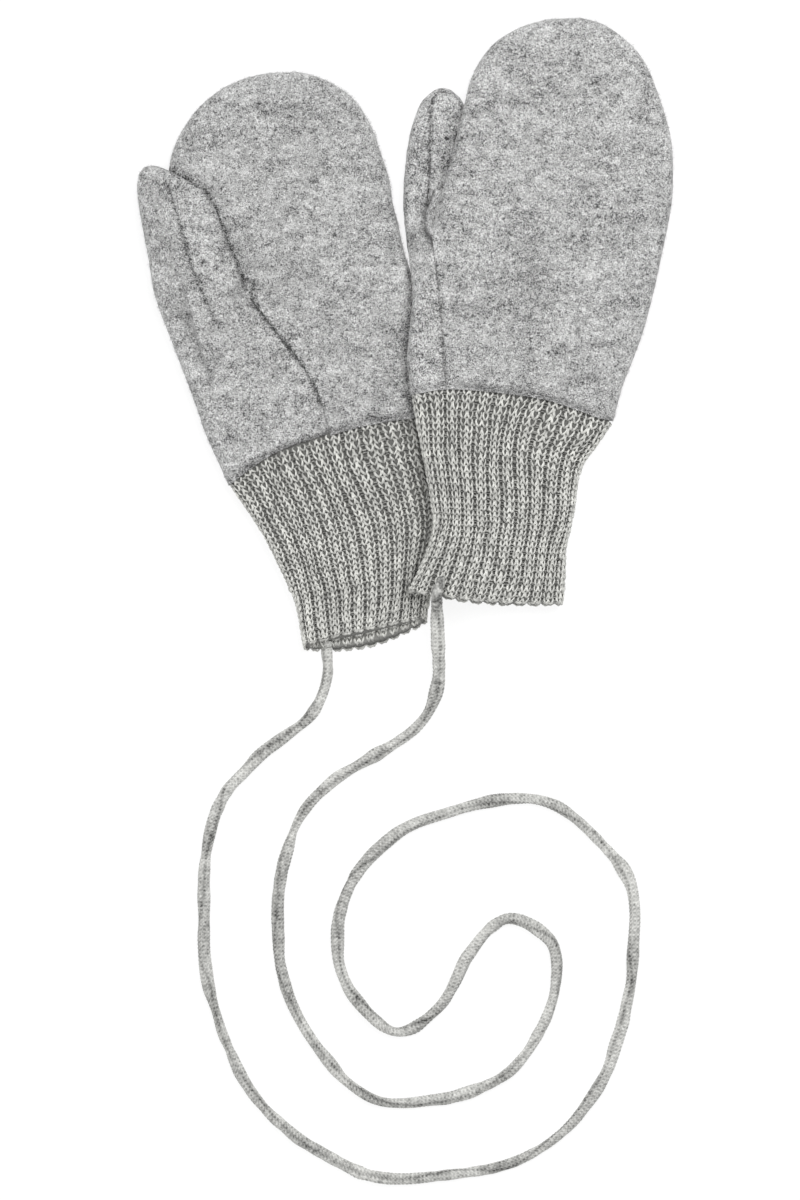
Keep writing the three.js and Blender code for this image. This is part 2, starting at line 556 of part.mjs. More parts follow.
// A ribbed tube, flattened. It starts at the left edge, goes over the top and back underneath.
function cuffPiece(m) {
  const near = track(m.cuff, "near");
  const far = track(m.cuff, "far");
  const last = m.cuff.length - 1;
  const PER_RIB = 3;
  const ROWS = [0, 1.2, 2.6, 4, 5.4, 6.8, 8];
  const outer = [];
  const inner = [];
  for (const row of ROWS) {
    const a = near(row);
    const b = far(row);
    const width = Math.hypot(...less(b, a));
    const direction = unit(less(b, a));
    const flatPart = width - 2 * CUFF_HALF;
    const arc = Math.PI * CUFF_HALF;
    const girth = 2 * flatPart + 2 * arc;
    const t = row / last;
    const outerRow = [];
    const innerRow = [];
    for (let k = 0; k < RIBS * PER_RIB; k += 1) {
      const s = (girth * k) / (RIBS * PER_RIB);
      const groove = k % PER_RIB === 0 ? RIB_DEPTH : 0;
      // x along the width and the direction of the surface there
      let x = 0;
      let height = 0;
      let out = [0, 0];
      if (s < arc / 2) {
        const g = s / CUFF_HALF;
        [x, height, out] = [CUFF_HALF, 0, [-Math.cos(g), Math.sin(g)]];
      } else if (s < arc / 2 + flatPart) {
        [x, out] = [CUFF_HALF + s - arc / 2, [0, 1]];
      } else if (s < 1.5 * arc + flatPart) {
        const g = (s - arc / 2 - flatPart) / CUFF_HALF;
        [x, out] = [width - CUFF_HALF, [Math.sin(g), Math.cos(g)]];
      } else if (s < 1.5 * arc + 2 * flatPart) {
        [x, out] = [width - CUFF_HALF - (s - 1.5 * arc - flatPart), [0, -1]];
      } else {
        const g = (s - 1.5 * arc - 2 * flatPart) / CUFF_HALF;
        [x, out] = [CUFF_HALF, [-Math.sin(g), -Math.cos(g)]];
      }
      const place = (radius) => {
        const across = x + out[0] * radius;
        const up = height + out[1] * radius;
        const u = across / width;
        let p = plus(a, direction, across);
        const uu = Math.min(Math.max(u, 0), 1);
        const bow = less(m.seam(uu), mix2(m.seam(0), m.seam(1), uu));
        p = plus(p, bow, Math.max(0, 1 - t * 1.6) ** 2);
        const hem = smooth((t - 0.55) / 0.45);
        const slip = m.hemSlip * smooth(0.5 - up / CUFF_HALF / 2) * t ** 3;
        p = plus(p, m.along, -(m.hemBow * 4 * uu * (1 - uu) * hem + slip));
        const dent = out[1] > 0 ? m.folded(p) * out[1] : 0;
        return [...p, m.bed(p) + CUFF_HALF + up - dent];
      };
      outerRow.push(place(CUFF_HALF - groove));
      innerRow.push(place(CUFF_HALF - CUFF_WALL));
    }
    outer.push(outerRow);
    inner.push(innerRow);
  }
  return wallBetween(outer, inner, true);
}

// Along each mitten, from the hem toward the fingers.
for (const m of [left, right]) {
  const hem = mix2(m.cuff[8].near, m.cuff[8].far, 0.5);
  m.along = unit(less(m.seam(0.5), hem));
}

function cordPiece() {
  const ends = [
    { at: [-20.7, -83.6], z: 1.75 },
    { at: [8.5, -70.7], z: 7.7 },
  ];
  const RAMP = 26; // the right end comes down from its hem to the table over this length
  const points = [ends[0].at, ...CORD_ROUTE, ends[1].at];
  const heights = points.map((p, k) => {
    const toEnd = Math.hypot(...less(p, ends[1].at));
    const raised = k > points.length / 2 ? 1 - smooth(toEnd / RAMP) : 0;
    return CORD_RADIUS + 0.15 + raised * (ends[1].z - CORD_RADIUS - 0.15);
  });
  const path = new THREE.CatmullRomCurve3(points.map((p, k) => new THREE.Vector3(...p, heights[k])));
  path.arcLengthDivisions = 2000;
  const ring = Array.from({ length: CORD_SIDES }, (_, k) => {
    const a = (2 * Math.PI * (k + 0.5)) / CORD_SIDES;
    return new THREE.Vector2(CORD_RADIUS * Math.cos(a), CORD_RADIUS * Math.sin(a));
  });
  return new THREE.ExtrudeGeometry(new THREE.Shape(ring), {
    steps: CORD_STEPS,
    extrudePath: path,
    bevelEnabled: false,
  });
}

const fleece = () => new THREE.MeshStandardMaterial({ color: "#b5b5b4", roughness: 0.95, metalness: 0 });
const rib = () => new THREE.MeshStandardMaterial({ color: "#a5a59f", roughness: 0.95, metalness: 0 });
const cordKnit = () => new THREE.MeshStandardMaterial({ color: "#b4b4b0", roughness: 0.95, metalness: 0 });

const group = new THREE.Group();
function addPiece(name, geometry, material) {
  const mesh = new THREE.Mesh(geometry, material);
  mesh.name = name;
  mesh.position.set(-MIDDLE[0], -MIDDLE[1], 0);
  group.add(mesh);
}

for (const [name, m] of [["left", left], ["right", right]]) {
  addPiece(`${name}_palm`, panel(m, m.palm, m.palmSide), fleece());
  addPiece(`${name}_back`, panel(m, m.back, -m.palmSide), fleece());
  addPiece(`${name}_thumb`, thumbPiece(m), fleece());
  addPiece(`${name}_cuff`, cuffPiece(m), rib());
}
addPiece("cord", cordPiece(), cordKnit());

export default group;
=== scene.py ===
"""A pair of baby mittens in brushed grey wool, laid flat on a pale table with the cord that joins them.

Shapes are worked out in millimetres from tables like those of the solids, and turned into metres as each
mesh is made.
"""
import math

import bpy
import numpy as np
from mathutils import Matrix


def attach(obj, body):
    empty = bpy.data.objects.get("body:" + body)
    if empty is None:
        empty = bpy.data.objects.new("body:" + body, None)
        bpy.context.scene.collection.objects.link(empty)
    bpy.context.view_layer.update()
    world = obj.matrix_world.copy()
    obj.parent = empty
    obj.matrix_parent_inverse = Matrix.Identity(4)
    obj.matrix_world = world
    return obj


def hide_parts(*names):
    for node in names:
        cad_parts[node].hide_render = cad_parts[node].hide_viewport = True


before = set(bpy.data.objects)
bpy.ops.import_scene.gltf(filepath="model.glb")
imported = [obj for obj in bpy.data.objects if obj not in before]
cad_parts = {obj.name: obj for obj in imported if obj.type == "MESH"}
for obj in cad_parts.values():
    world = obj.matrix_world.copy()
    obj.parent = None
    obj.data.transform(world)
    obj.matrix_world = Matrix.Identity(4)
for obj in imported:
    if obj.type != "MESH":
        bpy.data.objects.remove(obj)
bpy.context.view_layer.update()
rng = np.random.default_rng(7)

MM = 0.001
MIDDLE = (0.05, 0.23)  # the middle of the two mittens, which the tables miss by this much

# Camera: straight above, far off, with the photograph's frame as tall on the cloth as FRAME_HEIGHT. Metres.
FRAME_HEIGHT = 0.318
FRAME_MIDDLE = (-0.00138, -0.07046)
CAMERA_UP = 3.0
CLOTH_UP = 0.003  # the height at which the frame is measured
SENSOR = 36
camera_data = bpy.data.cameras.new("camera")
camera_data.sensor_width = SENSOR
camera_data.lens = SENSOR / 2 / (FRAME_HEIGHT / 2 / CAMERA_UP)
camera_data.clip_start, camera_data.clip_end = 0.05, 20
camera = bpy.data.objects.new("camera", camera_data)
camera.location = (*FRAME_MIDDLE, CAMERA_UP + CLOTH_UP)
bpy.context.collection.objects.link(camera)
bpy.context.scene.camera = camera

# The cord, from the hem of the left cuff to the hem of the right one, in metres, seen from above.
CORD_ROUTE = [
    (-0.0209, -0.0905), (-0.0252, -0.1010), (-0.0368, -0.1100), (-0.0466, -0.1208), (-0.0519, -0.1346),
    (-0.0520, -0.1730), (-0.0376, -0.2048), (-0.0135, -0.2215), (0.0011, -0.2239), (0.0299, -0.2186),
    (0.0427, -0.2107), (0.0514, -0.1993), (0.0604, -0.1680), (0.0603, -0.1510), (0.0555, -0.1384),
    (0.0352, -0.1235), (0.0044, -0.1287), (-0.0086, -0.1380), (-0.0162, -0.1505), (-0.0178, -0.1625),
    (-0.0132, -0.1757), (-0.0021, -0.1847), (0.0098, -0.1776), (0.0170, -0.1646), (0.0273, -0.1548),
    (0.0392, -0.1609), (0.0392, -0.1754), (0.0334, -0.1889), (0.0225, -0.1988), (-0.0084, -0.2020),
    (-0.0294, -0.1784), (-0.0339, -0.1550), (-0.0315, -0.1360), (-0.0240, -0.1224), (0.0034, -0.1038),
    (0.0084, -0.0930), (0.0086, -0.0805),
]
CORD_ENDS = [(-0.0207, -0.0836), (0.0085, -0.0707)]
CORD_END_Z = 0.0077  # of the right end, which comes down from its hem to the table
CORD_RAMP = 0.026  # over how much of its length it comes down

# Millimetres from here on.
WALL = 2.2  # brushed wool cloth
HALF = 3.0  # half the thickness of a hand laid flat, also the radius of its edges
CROWN = 0.8  # how much higher the middle of a hand swells
CROWN_REACH = 18  # how far in from the edge it has swelled in full
THUMB_HALF = 2.6  # half the thickness of the thumb
GAP = 0.3  # between the layers at the side of the hand
SEAM_LAP = 0.06  # how far cloth edges press into each other at the gusset and thumb seams
CUFF_LAP = 0.8  # how far the fleece comes down over the top of the cuff
CUFF_WALL = 2.0
CUFF_HALF = 2.8  # half the thickness of a cuff laid flat
RIBS = 24
CROTCH_TAIL = 0.8  # the flat end of the thumb's cloth at the crotch
HAND_FROM_ROW = 8  # the first row in which both left edges are the side of the hand
CROTCH_ROW = 6  # the row in which the thumb leaves the hand
CUFF_ROWS = 8  # rows of a cuff's table, from the cuff seam at 0 to the hem
ROW_LENGTH = 6
COURSES = 33  # rows of stitches in a cuff
TABLE_CLEAR = 0.02  # no cloth or yarn comes nearer to the table than this


def table(names, values):
    """The rows of a table, with a name for each column."""
    return [dict(zip(names.split(), row)) for row in values]


# Plans of the two hands, a row for each line across, from the cuff seam to the fingertips: the near edge of
# the palm, that of the back, and the far side that both share.
LEFT_HAND = table("palm back far", [
    ((-19.9, -26.0), (-37.9, -32.6), (6.6, -20.7)),
    ((-22.8, -16.7), (-43.2, -24.4), (6.4, -13.5)),
    ((-26.8, -8.7), (-48.0, -13.5), (5.8, -6.6)),
    ((-32.3, -1.6), (-52.7, -3.2), (5.0, 0.3)),
    ((-37.4, 4.8), (-55.7, 4.0), (4.2, 6.1)),
    ((-40.6, 9.7), (-57.5, 8.5), (3.2, 11.4)),
    ((-41.0, 14.0), (-58.6, 11.4), (1.6, 16.4)),
    ((-50.2, 16.3), (-59.1, 13.5), (0.0, 21.2)),
    ((-59.9, 17.6), (-59.6, 15.9), (-1.1, 25.7)),
    ((-61.7, 22.0), (-61.7, 22.0), (-1.9, 29.9)),
    ((-63.1, 29.9), (-63.1, 29.9), (-3.2, 34.7)),
    ((-63.1, 38.4), (-63.1, 38.4), (-4.2, 41.1)),
    ((-62.0, 46.9), (-62.0, 46.9), (-6.4, 48.2)),
    ((-59.4, 53.5), (-59.4, 53.5), (-9.0, 55.4)),
    ((-54.9, 59.9), (-54.9, 59.9), (-13.5, 62.3)),
    ((-48.5, 65.2), (-48.5, 65.2), (-19.6, 66.8)),
    ((-41.9, 68.1), (-41.9, 68.1), (-25.2, 69.0)),
    ((-36.8, 69.3), (-36.8, 69.3), (-28.9, 69.7)),
])
RIGHT_HAND = table("palm back far", [
    ((28.6, -14.8), (10.9, -13.8), (55.2, -22.9)),
    ((33.4, -7.2), (10.3, -7.2), (57.5, -14.0)),
    ((32.9, -0.8), (9.8, 0.5), (60.4, -6.6)),
    ((31.3, 6.1), (9.3, 8.2), (62.8, 0.0)),
    ((28.4, 13.2), (8.5, 15.4), (64.7, 6.6)),
    ((26.8, 19.5), (7.7, 22.0), (66.2, 12.7)),
    ((26.9, 27.3), (7.2, 25.7), (67.3, 17.8)),
    ((16.7, 32.6), (7.2, 28.6), (68.4, 23.1)),
    ((8.7, 34.8), (8.7, 33.9), (69.7, 29.2)),
    ((10.6, 40.8), (10.6, 40.8), (70.8, 36.3)),
    ((12.5, 48.0), (12.5, 48.0), (71.0, 44.3)),
    ((14.3, 55.1), (14.3, 55.1), (70.5, 51.7)),
    ((15.9, 61.7), (15.9, 61.7), (68.9, 58.3)),
    ((17.2, 67.0), (17.2, 67.0), (66.8, 64.7)),
    ((19.9, 72.6), (19.9, 72.6), (63.6, 72.1)),
    ((24.4, 77.9), (24.4, 77.9), (59.1, 77.6)),
    ((31.5, 81.9), (31.5, 81.9), (52.7, 82.2)),
    ((38.2, 83.7), (38.2, 83.7), (46.6, 84.0)),
])
# Plans of the thumbs with their gussets: the outer edge, the fold over the hand, the sewn edges on the palm
# and the back, and from 0 to 1 how far the fold has turned under, risen off the hand and come free of it.
LEFT_THUMB = table("edge fold palm back turn lift free", [
    ((-46.9, -39.2), (-29.4, -29.7), (-19.9, -26.0), (-37.9, -32.6), 0, 0, 0),
    ((-52.5, -27.0), (-32.6, -20.1), (-22.8, -16.7), (-43.2, -24.4), 0, 0, 0),
    ((-57.0, -14.6), (-35.8, -10.6), (-26.8, -8.7), (-48.0, -13.5), 0, 0.1, 0),
    ((-61.2, -3.4), (-41.1, -2.1), (-32.3, -1.6), (-52.7, -3.2), 0, 0.35, 0),
    ((-64.1, 4.0), (-43.7, 4.8), (-37.4, 4.8), (-55.7, 4.0), 0, 0.7, 0),
    ((-65.7, 8.7), (-43.7, 9.4), (-41.1, 9.5), (-57.5, 8.5), 0, 0.92, 0),
    ((-66.8, 12.5), (-42.3, 12.0), (-42.3, 12.0), (-58.8, 11.7), 0.5, 1, 0.5),
    ((-67.3, 15.6), (-43.5, 15.4), (-51.1, 15.1), (-59.6, 15.4), 1, 1, 1),
    ((-67.8, 19.3), (-44.8, 19.3), (-60.1, 19.3), (-60.4, 19.3), 1, 1, 1),
    ((-68.9, 25.2), (-47.4, 25.2), (-61.4, 25.2), (-61.7, 25.2), 1, 1, 1),
    ((-70.2, 32.1), (-50.1, 32.6), (-62.8, 32.1), (-63.1, 32.1), 1, 1, 1),
    ((-70.9, 37.6), (-53.5, 38.2), (-63.8, 37.6), (-64.1, 37.6), 1, 1, 1),
    ((-70.8, 40.8), (-57.8, 40.8), (-64.9, 40.8), (-65.2, 40.8), 1, 1, 1),
    ((-70.4, 42.8), (-61.2, 42.7), (-65.7, 42.7), (-66.0, 42.7), 1, 1, 1),
    ((-69.2, 44.3), (-63.9, 44.0), (-66.2, 44.1), (-66.5, 44.1), 1, 1, 1),
])
RIGHT_THUMB = table("edge fold palm back turn lift free", [
    ((1.6, -15.1), (19.1, -14.0), (28.6, -14.8), (10.9, -13.8), 0, 0, 0),
    ((0.5, -7.2), (22.5, -7.2), (33.4, -7.2), (10.3, -7.2), 0, 0, 0),
    ((1.1, 0.8), (22.0, 0.0), (32.9, -0.8), (9.8, 0.5), 0, 0, 0),
    ((1.9, 8.5), (21.5, 7.4), (31.3, 6.1), (9.3, 8.2), 0, 0.03, 0),
    ((1.6, 15.6), (20.9, 14.0), (28.4, 13.2), (8.5, 15.4), 0, 0.25, 0),
    ((0.8, 22.0), (23.6, 19.6), (26.2, 19.3), (7.7, 22.0), 0, 0.7, 0),
    ((0.3, 25.7), (25.2, 23.9), (25.2, 23.9), (7.2, 25.7), 0.5, 1, 0.5),
    ((-0.1, 29.4), (24.1, 28.1), (16.2, 28.6), (6.6, 29.2), 1, 1, 1),
    ((-0.4, 34.2), (22.8, 33.7), (6.5, 34.2), (6.2, 34.2), 1, 1, 1),
    ((-0.3, 41.1), (20.9, 41.1), (6.6, 41.1), (6.3, 41.1), 1, 1, 1),
    ((0.5, 48.5), (19.1, 49.0), (6.8, 48.8), (6.5, 48.8), 1, 1, 1),
    ((1.9, 55.7), (17.5, 55.4), (6.9, 55.7), (6.6, 55.7), 1, 1, 1),
    ((3.6, 60.4), (15.9, 60.2), (7.2, 60.4), (6.9, 60.4), 1, 1, 1),
    ((5.3, 62.9), (14.6, 62.8), (7.9, 62.9), (7.6, 62.9), 1, 1, 1),
    ((7.7, 64.9), (12.5, 64.7), (10.0, 64.8), (9.7, 64.8), 1, 1, 1),
])
# The two sides of each cuff, from the cuff seam to the hem.
LEFT_CUFF = table("near far", [
    ((-46.6, -39.8), (6.9, -21.2)), ((-43.2, -44.8), (7.7, -27.8)),
    ((-39.8, -49.8), (8.7, -34.5)), ((-36.8, -55.1), (9.8, -41.1)),
    ((-34.2, -60.2), (10.3, -47.4)), ((-31.8, -65.2), (9.5, -54.3)),
    ((-29.4, -70.5), (8.2, -61.0)), ((-28.1, -76.1), (6.9, -68.1)),
    ((-27.3, -81.9), (5.8, -74.5)),
])
RIGHT_CUFF = table("near far", [
    ((1.6, -15.7), (55.0, -23.7)), ((2.7, -22.5), (50.9, -29.7)),
    ((4.0, -29.4), (47.4, -34.7)), ((5.3, -36.6), (45.8, -40.5)),
    ((6.6, -43.7), (45.1, -46.4)), ((7.2, -49.6), (44.0, -51.9)),
    ((6.1, -55.7), (42.9, -57.8)), ((3.7, -61.7), (42.7, -64.4)),
    ((0.8, -67.3), (42.1, -70.8)),
])
# For each y, how high the right mitten is held up at its near side, and from which x to which it comes down.
RIGHT_BED = table("y start end lift", [
    (-72.9, 13.2, 34.5, 6.1), (-15.1, 12.5, 34.5, 6.3), (9.3, 15.1, 37.1, 6.4),
    (19.3, 22.5, 43.7, 6.4), (28.9, 26.2, 46.4, 6.2), (38.4, 23.3, 44.3, 6.0),
    (49.0, 20.9, 42.4, 5.9), (55.7, 19.1, 40.5, 5.4), (61.0, 17.2, 38.4, 4.0),
    (66.2, 15.1, 35.8, 2.0), (72.9, 13.2, 34.5, 0.8), (84.3, 9.3, 30.5, 0.2),
])
# Shallow folds: middle, angle in degrees, half length, half width and depth.
LEFT_FOLDS = table("at angle length width depth", [
    ((-14, 8), 8, 20, 5, 0.3),
    ((-10, 18), 4, 17, 4.5, 0.25),
    ((-20, -58), 112, 22, 3.5, 0.35),
])
RIGHT_FOLDS = table("at angle length width depth", [
    ((12.5, -46), 86, 24, 3.6, 0.6),
    ((47, -31), 128, 11, 4, -0.5),
    ((40, -34), 122, 12, 3.5, 0.4),
    ((34, 4), 172, 18, 5, 0.25),
])
# The cuff seams.
LEFT_SEAM = [
    (-46.9, -39.2), (-35.8, -31.8), (-25.2, -27.8), (-15.9, -24.6), (-6.6, -22.5), (2.1, -21.3), (6.6, -20.7),
]
RIGHT_SEAM = [
    (1.6, -15.1), (9.3, -14.0), (19.9, -14.3), (35.8, -16.2), (45.1, -19.0), (51.7, -21.5), (55.2, -22.9),
]


def smooth(t):
    """A soft step from 0 at 0 to 1 at 1."""
    t = np.clip(t, 0, 1)
    return t * t * (3 - 2 * t)


def mix(a, b, t):
    return a + (b - a) * t


def unit(v):
    return v / np.maximum(np.linalg.norm(v, axis=-1, keepdims=True), 1e-9)


HASH = (374761393, 668265263, 1440662683, 1274126177)


def noise(p, size, seed):
    """Smooth noise from -1 to 1 at points p, with features about `size` across."""
    q = np.asarray(p, float) / size + seed * 17.31
    cell = np.floor(q).astype(np.int64)
    f = q - cell
    f = f * f * (3 - 2 * f)
    total = 0
    for corner in range(8):
        d = [(corner >> k) & 1 for k in range(3)]
        h = sum((cell[..., k] + d[k]) * HASH[k] for k in range(3))
        h = (h ^ (h >> 13)) * HASH[3]
        h = h ^ (h >> 16)
        weight = 1
        for k in range(3):
            weight = weight * (f[..., k] if d[k] else 1 - f[..., k])
        total = total + weight * ((h & 0xFFFF) / 32767.5 - 1)
    return total


def track(points):
    """A curve through the points, by row; a row may be a fraction."""
    p = np.array(points, float)
    n = len(p)

    def at(row):
        row = np.clip(np.asarray(row, float), 0, n - 1)
        k = np.minimum(row.astype(int), n - 2)
        t = (row - k)[..., None]
        p0, p1, p2, p3 = p[np.maximum(k - 1, 0)], p[k], p[k + 1], p[np.minimum(k + 2, n - 1)]
        v0, v1 = (p2 - p0) / 2, (p3 - p1) / 2
        return (2 * p1 - 2 * p2 + v0 + v1) * t**3 + (3 * p2 - 3 * p1 - 2 * v0 - v1) * t**2 + v0 * t + p1

    return at


def column(rows, name):
    """The curve through one column of points."""
    return track([row[name] for row in rows])


def number(rows, name):
    """One column of numbers, by row."""
    values = [row[name] for row in rows]
    return lambda row: np.interp(row, np.arange(len(values)), values)


def nearest(lines, p):
    """Distance from points p to the nearest of some polylines, the way out to p and the line's direction."""
    a = np.concatenate([line[:-1] for line in lines])
    span = np.concatenate([line[1:] - line[:-1] for line in lines])
    span2 = np.maximum((span**2).sum(-1), 1e-12)
    flat = np.asarray(p, float).reshape(-1, 2)
    distance = np.empty(len(flat))
    away = np.empty((len(flat), 2))
    along = np.empty((len(flat), 2))
    for part in np.array_split(np.arange(len(flat)), max(1, len(flat) // 4000)):
        q = flat[part][:, None, :] - a
        t = np.clip((q * span).sum(-1) / span2, 0, 1)
        d = q - span * t[..., None]
        far = np.hypot(d[..., 0], d[..., 1])
        k = far.argmin(1)
        i = np.arange(len(part))
        distance[part], away[part], along[part] = far[i, k], d[i, k], span[k]
    shape = np.shape(p)[:-1]
    return distance.reshape(shape), away.reshape(shape + (2,)), along.reshape(shape + (2,))


THUMB_OUTSIDE = 4.0  # height of the middle of the left thumb where it lies beside the hand


class Mitten:
    """One mitten: its curves, and what depends on where a point is seen from above."""

    def __init__(self, hand, thumb, cuff, seam, folds, hem_slip, hem_bow, palm_side, bed, crotch):
        self.hem_slip, self.hem_bow = hem_slip, hem_bow  # lower layer below the upper one, and hem bowed down
        self.palm_side, self.folds, self.bed = palm_side, folds, bed
        self.crotch = np.array(crotch)
        self.last, self.thumb_last = len(hand) - 1, len(thumb) - 1
        self.palm, self.back, self.far = (column(hand, c) for c in ("palm", "back", "far"))
        self.edge, self.fold = column(thumb, "edge"), column(thumb, "fold")
        self.thumb_palm, self.thumb_back = column(thumb, "palm"), column(thumb, "back")
        self.turn, self.lift, self.free = (number(thumb, c) for c in ("turn", "lift", "free"))
        self.cuff_near, self.cuff_far = column(cuff, "near"), column(cuff, "far")
        curve = track(seam)
        places = np.linspace(0, len(seam) - 1, 201)
        fine = curve(places)
        run = np.concatenate([[0], np.cumsum(np.hypot(*np.diff(fine, axis=0).T))])
        self.seam = lambda u: curve(np.interp(np.clip(u, 0, 1) * run[-1], run, places))
        self.seam_line = self.seam(np.linspace(0, 1, 120))
        rows = np.arange(HAND_FROM_ROW - 1, self.last + 0.001, 0.125)
        rim = np.concatenate([self.back(rows), self.far(np.arange(self.last, -0.001, -0.125))])
        self.rim = [rim, self.edge(np.arange(0, CROTCH_ROW + 0.01, 0.125))]
        hem = (self.cuff_near(CUFF_ROWS) + self.cuff_far(CUFF_ROWS)) / 2
        self.along = unit(self.seam(0.5) - hem)
        self.side = self.back(HAND_FROM_ROW - 2 + np.arange(0, 7.9, 0.2))

    def edge_at(self, p):
        """Distance to the edge of the flat hand, and the direction away from that edge."""
        distance, away, along = nearest(self.rim, p)
        normal = unit(np.stack([along[..., 1], -along[..., 0]], -1))
        return distance, np.where(distance[..., None] > 0.4, unit(away), normal)

    def crown(self, p, distance):
        """How much the hand swells at p, which lies at a distance from its edge."""
        seam = nearest([self.seam_line], p)[0]
        return CROWN * smooth(distance / CROWN_REACH) * smooth(0.25 + seam / CROWN_REACH)

    def seam_place(self, p):
        """Where on the cuff seam, from 0 to 1, it comes nearest to p."""
        u = np.linspace(0, 1, 501)
        return u[np.hypot(*(self.seam(u) - p).T).argmin()]

    def folded(self, p):
        """How deep the shallow folds are at p."""
        depth = np.zeros(np.shape(p)[:-1])
        for f in self.folds:
            d = p - np.array(f["at"])
            c, s = math.cos(math.radians(f["angle"])), math.sin(math.radians(f["angle"]))
            along = (d[..., 0] * c + d[..., 1] * s) / f["length"]
            across = (d[..., 1] * c - d[..., 0] * s) / f["width"]
            depth += f["depth"] * smooth(1 - abs(along)) * smooth(1 - abs(across))
        return depth

    def thumb_middle(self, p):
        """Height of the middle of the free thumb: over the palm of the left mitten, under the right one."""
        if self.palm_side < 0:
            return np.full(np.shape(p)[:-1], THUMB_HALF)
        distance, away, along = nearest([self.side], p)
        over_hand = away[..., 0] * along[..., 1] - away[..., 1] * along[..., 0] > 0
        inside = np.where(over_hand, distance, -distance)
        return mix(THUMB_OUTSIDE, 2 * HALF + CROWN + 0.4 + THUMB_HALF, smooth((inside + 8) / 11.5))


def right_bed(p):
    """How high the right mitten is held up by its own thumb and by the left one."""
    y = [row["y"] for row in RIGHT_BED]
    start, end, lift = (np.interp(p[..., 1], y, [row[c] for row in RIGHT_BED])
                        for c in ("start", "end", "lift"))
    return lift * (1 - smooth((p[..., 0] - start) / (end - start)))


def flat_bed(p):
    """The left mitten lies on the table."""
    return np.zeros(p.shape[:-1])


# Row and how far the upper layer of the hand reaches past its cut edge there, in under the thumb.
LEFT_CROTCH = [(4.8, 0), (5.2, 1.5), (5.6, 2.8), (6.0, 2.8), (6.5, 1.8), (7.2, 0)]
RIGHT_CROTCH = [
    (6.1, 0), (6.6, 0.3), (7.1, 0.7), (7.5, 1.4), (7.8, 1.7), (8.1, 1.2), (8.5, 0.5), (9.0, 0),
]

left = Mitten(LEFT_HAND, LEFT_THUMB, LEFT_CUFF, LEFT_SEAM, LEFT_FOLDS, hem_slip=4.8, hem_bow=-0.5,
              palm_side=1, bed=flat_bed, crotch=LEFT_CROTCH)
right = Mitten(RIGHT_HAND, RIGHT_THUMB, RIGHT_CUFF, RIGHT_SEAM, RIGHT_FOLDS, hem_slip=0.8, hem_bow=1.0,
               palm_side=-1, bed=right_bed, crotch=RIGHT_CROTCH)


def make_object(name, points, faces, material, values):
    """A smooth-shaded mesh from points in millimetres, lists of faces and a shade value for each point, kept as
    "height", from which its material paints shade and tone.
    """
    mesh = bpy.data.meshes.new(name)
    points = (np.asarray(points, float).reshape(-1, 3) - [MIDDLE[0], MIDDLE[1], 0]) * MM
    mesh.vertices.add(len(points))
    mesh.vertices.foreach_set("co", points.ravel())
    loops = np.concatenate([np.asarray(f).ravel() for f in faces])
    sizes = np.concatenate([np.full(len(f), np.shape(f)[1]) for f in faces])
    mesh.loops.add(len(loops))
    mesh.loops.foreach_set("vertex_index", loops)
    mesh.polygons.add(len(sizes))
    mesh.polygons.foreach_set("loop_start", np.concatenate([[0], np.cumsum(sizes)[:-1]]))
    mesh.polygons.foreach_set("use_smooth", np.ones(len(sizes), bool))
    mesh.update(calc_edges=True)
    layer = mesh.attributes.new("height", "FLOAT", "POINT")
    layer.data.foreach_set("value", np.asarray(values, float).ravel())
    mesh.materials.append(material)
    made = bpy.data.objects.new(name, mesh)
    bpy.context.collection.objects.link(made)
    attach(made, "root")
    return made


def grid_normals(grid):
    """Unit normals of a grid of points, on the side that its rows and columns turn to."""
    return unit(np.cross(np.gradient(grid, axis=1), np.gradient(grid, axis=0)))


COARSE = 4  # an inner grid has every fourth row and column of its outer one


def wall(outer, inner, ring=False):
    """Points and faces of a closed wall between a fine outer grid and a coarse inner one."""
    rows, across = outer.shape[:2]
    fine = np.arange(rows * across).reshape(rows, across)
    rough = rows * across + np.arange(inner.shape[0] * inner.shape[1]).reshape(inner.shape[:2])
    if ring:
        fine = np.concatenate([fine, fine[:, :1]], 1)
        rough = np.concatenate([rough, rough[:, :1]], 1)
    quads = []
    for g, flip in ((fine, False), (rough, True)):
        q = np.stack([g[:-1, :-1], g[:-1, 1:], g[1:, 1:], g[1:, :-1]], -1).reshape(-1, 4)
        quads.append(q[:, ::-1] if flip else q)
    tris = []

    def strip(f, c, flip):
        """Triangles between a fine rim and the coarse one beside it."""
        made = []
        half = COARSE // 2
        for k in range(len(c) - 1):
            for j in range(COARSE):
                made.append((f[k * COARSE + j], c[k] if j < half else c[k + 1], f[k * COARSE + j + 1]))
            made.append((f[k * COARSE + half], c[k], c[k + 1]))
        made = np.array(made)
        tris.append(made[:, ::-1] if flip else made)

    strip(fine[0], rough[0], False)
    strip(fine[-1], rough[-1], True)
    if not ring:
        strip(fine[:, 0], rough[:, 0], True)
        strip(fine[:, -1], rough[:, -1], False)
    points = np.concatenate([outer.reshape(-1, 3), inner.reshape(-1, 3)])
    tris = np.concatenate(tris)
    a, b, c = (points[tris[:, k]] for k in range(3))
    # All faces turn outward, so the volume that they enclose comes out positive.
    volume = np.einsum("ij,ij->", a, np.cross(b, c))
    q = np.concatenate(quads)
    for i, j, k in ((0, 1, 2), (0, 2, 3)):
        volume += np.einsum("ij,ij->", points[q[:, i]], np.cross(points[q[:, j]], points[q[:, k]]))
    if volume < 0:
        tris, q = tris[:, ::-1], q[:, ::-1]
    return points, [q, tris]


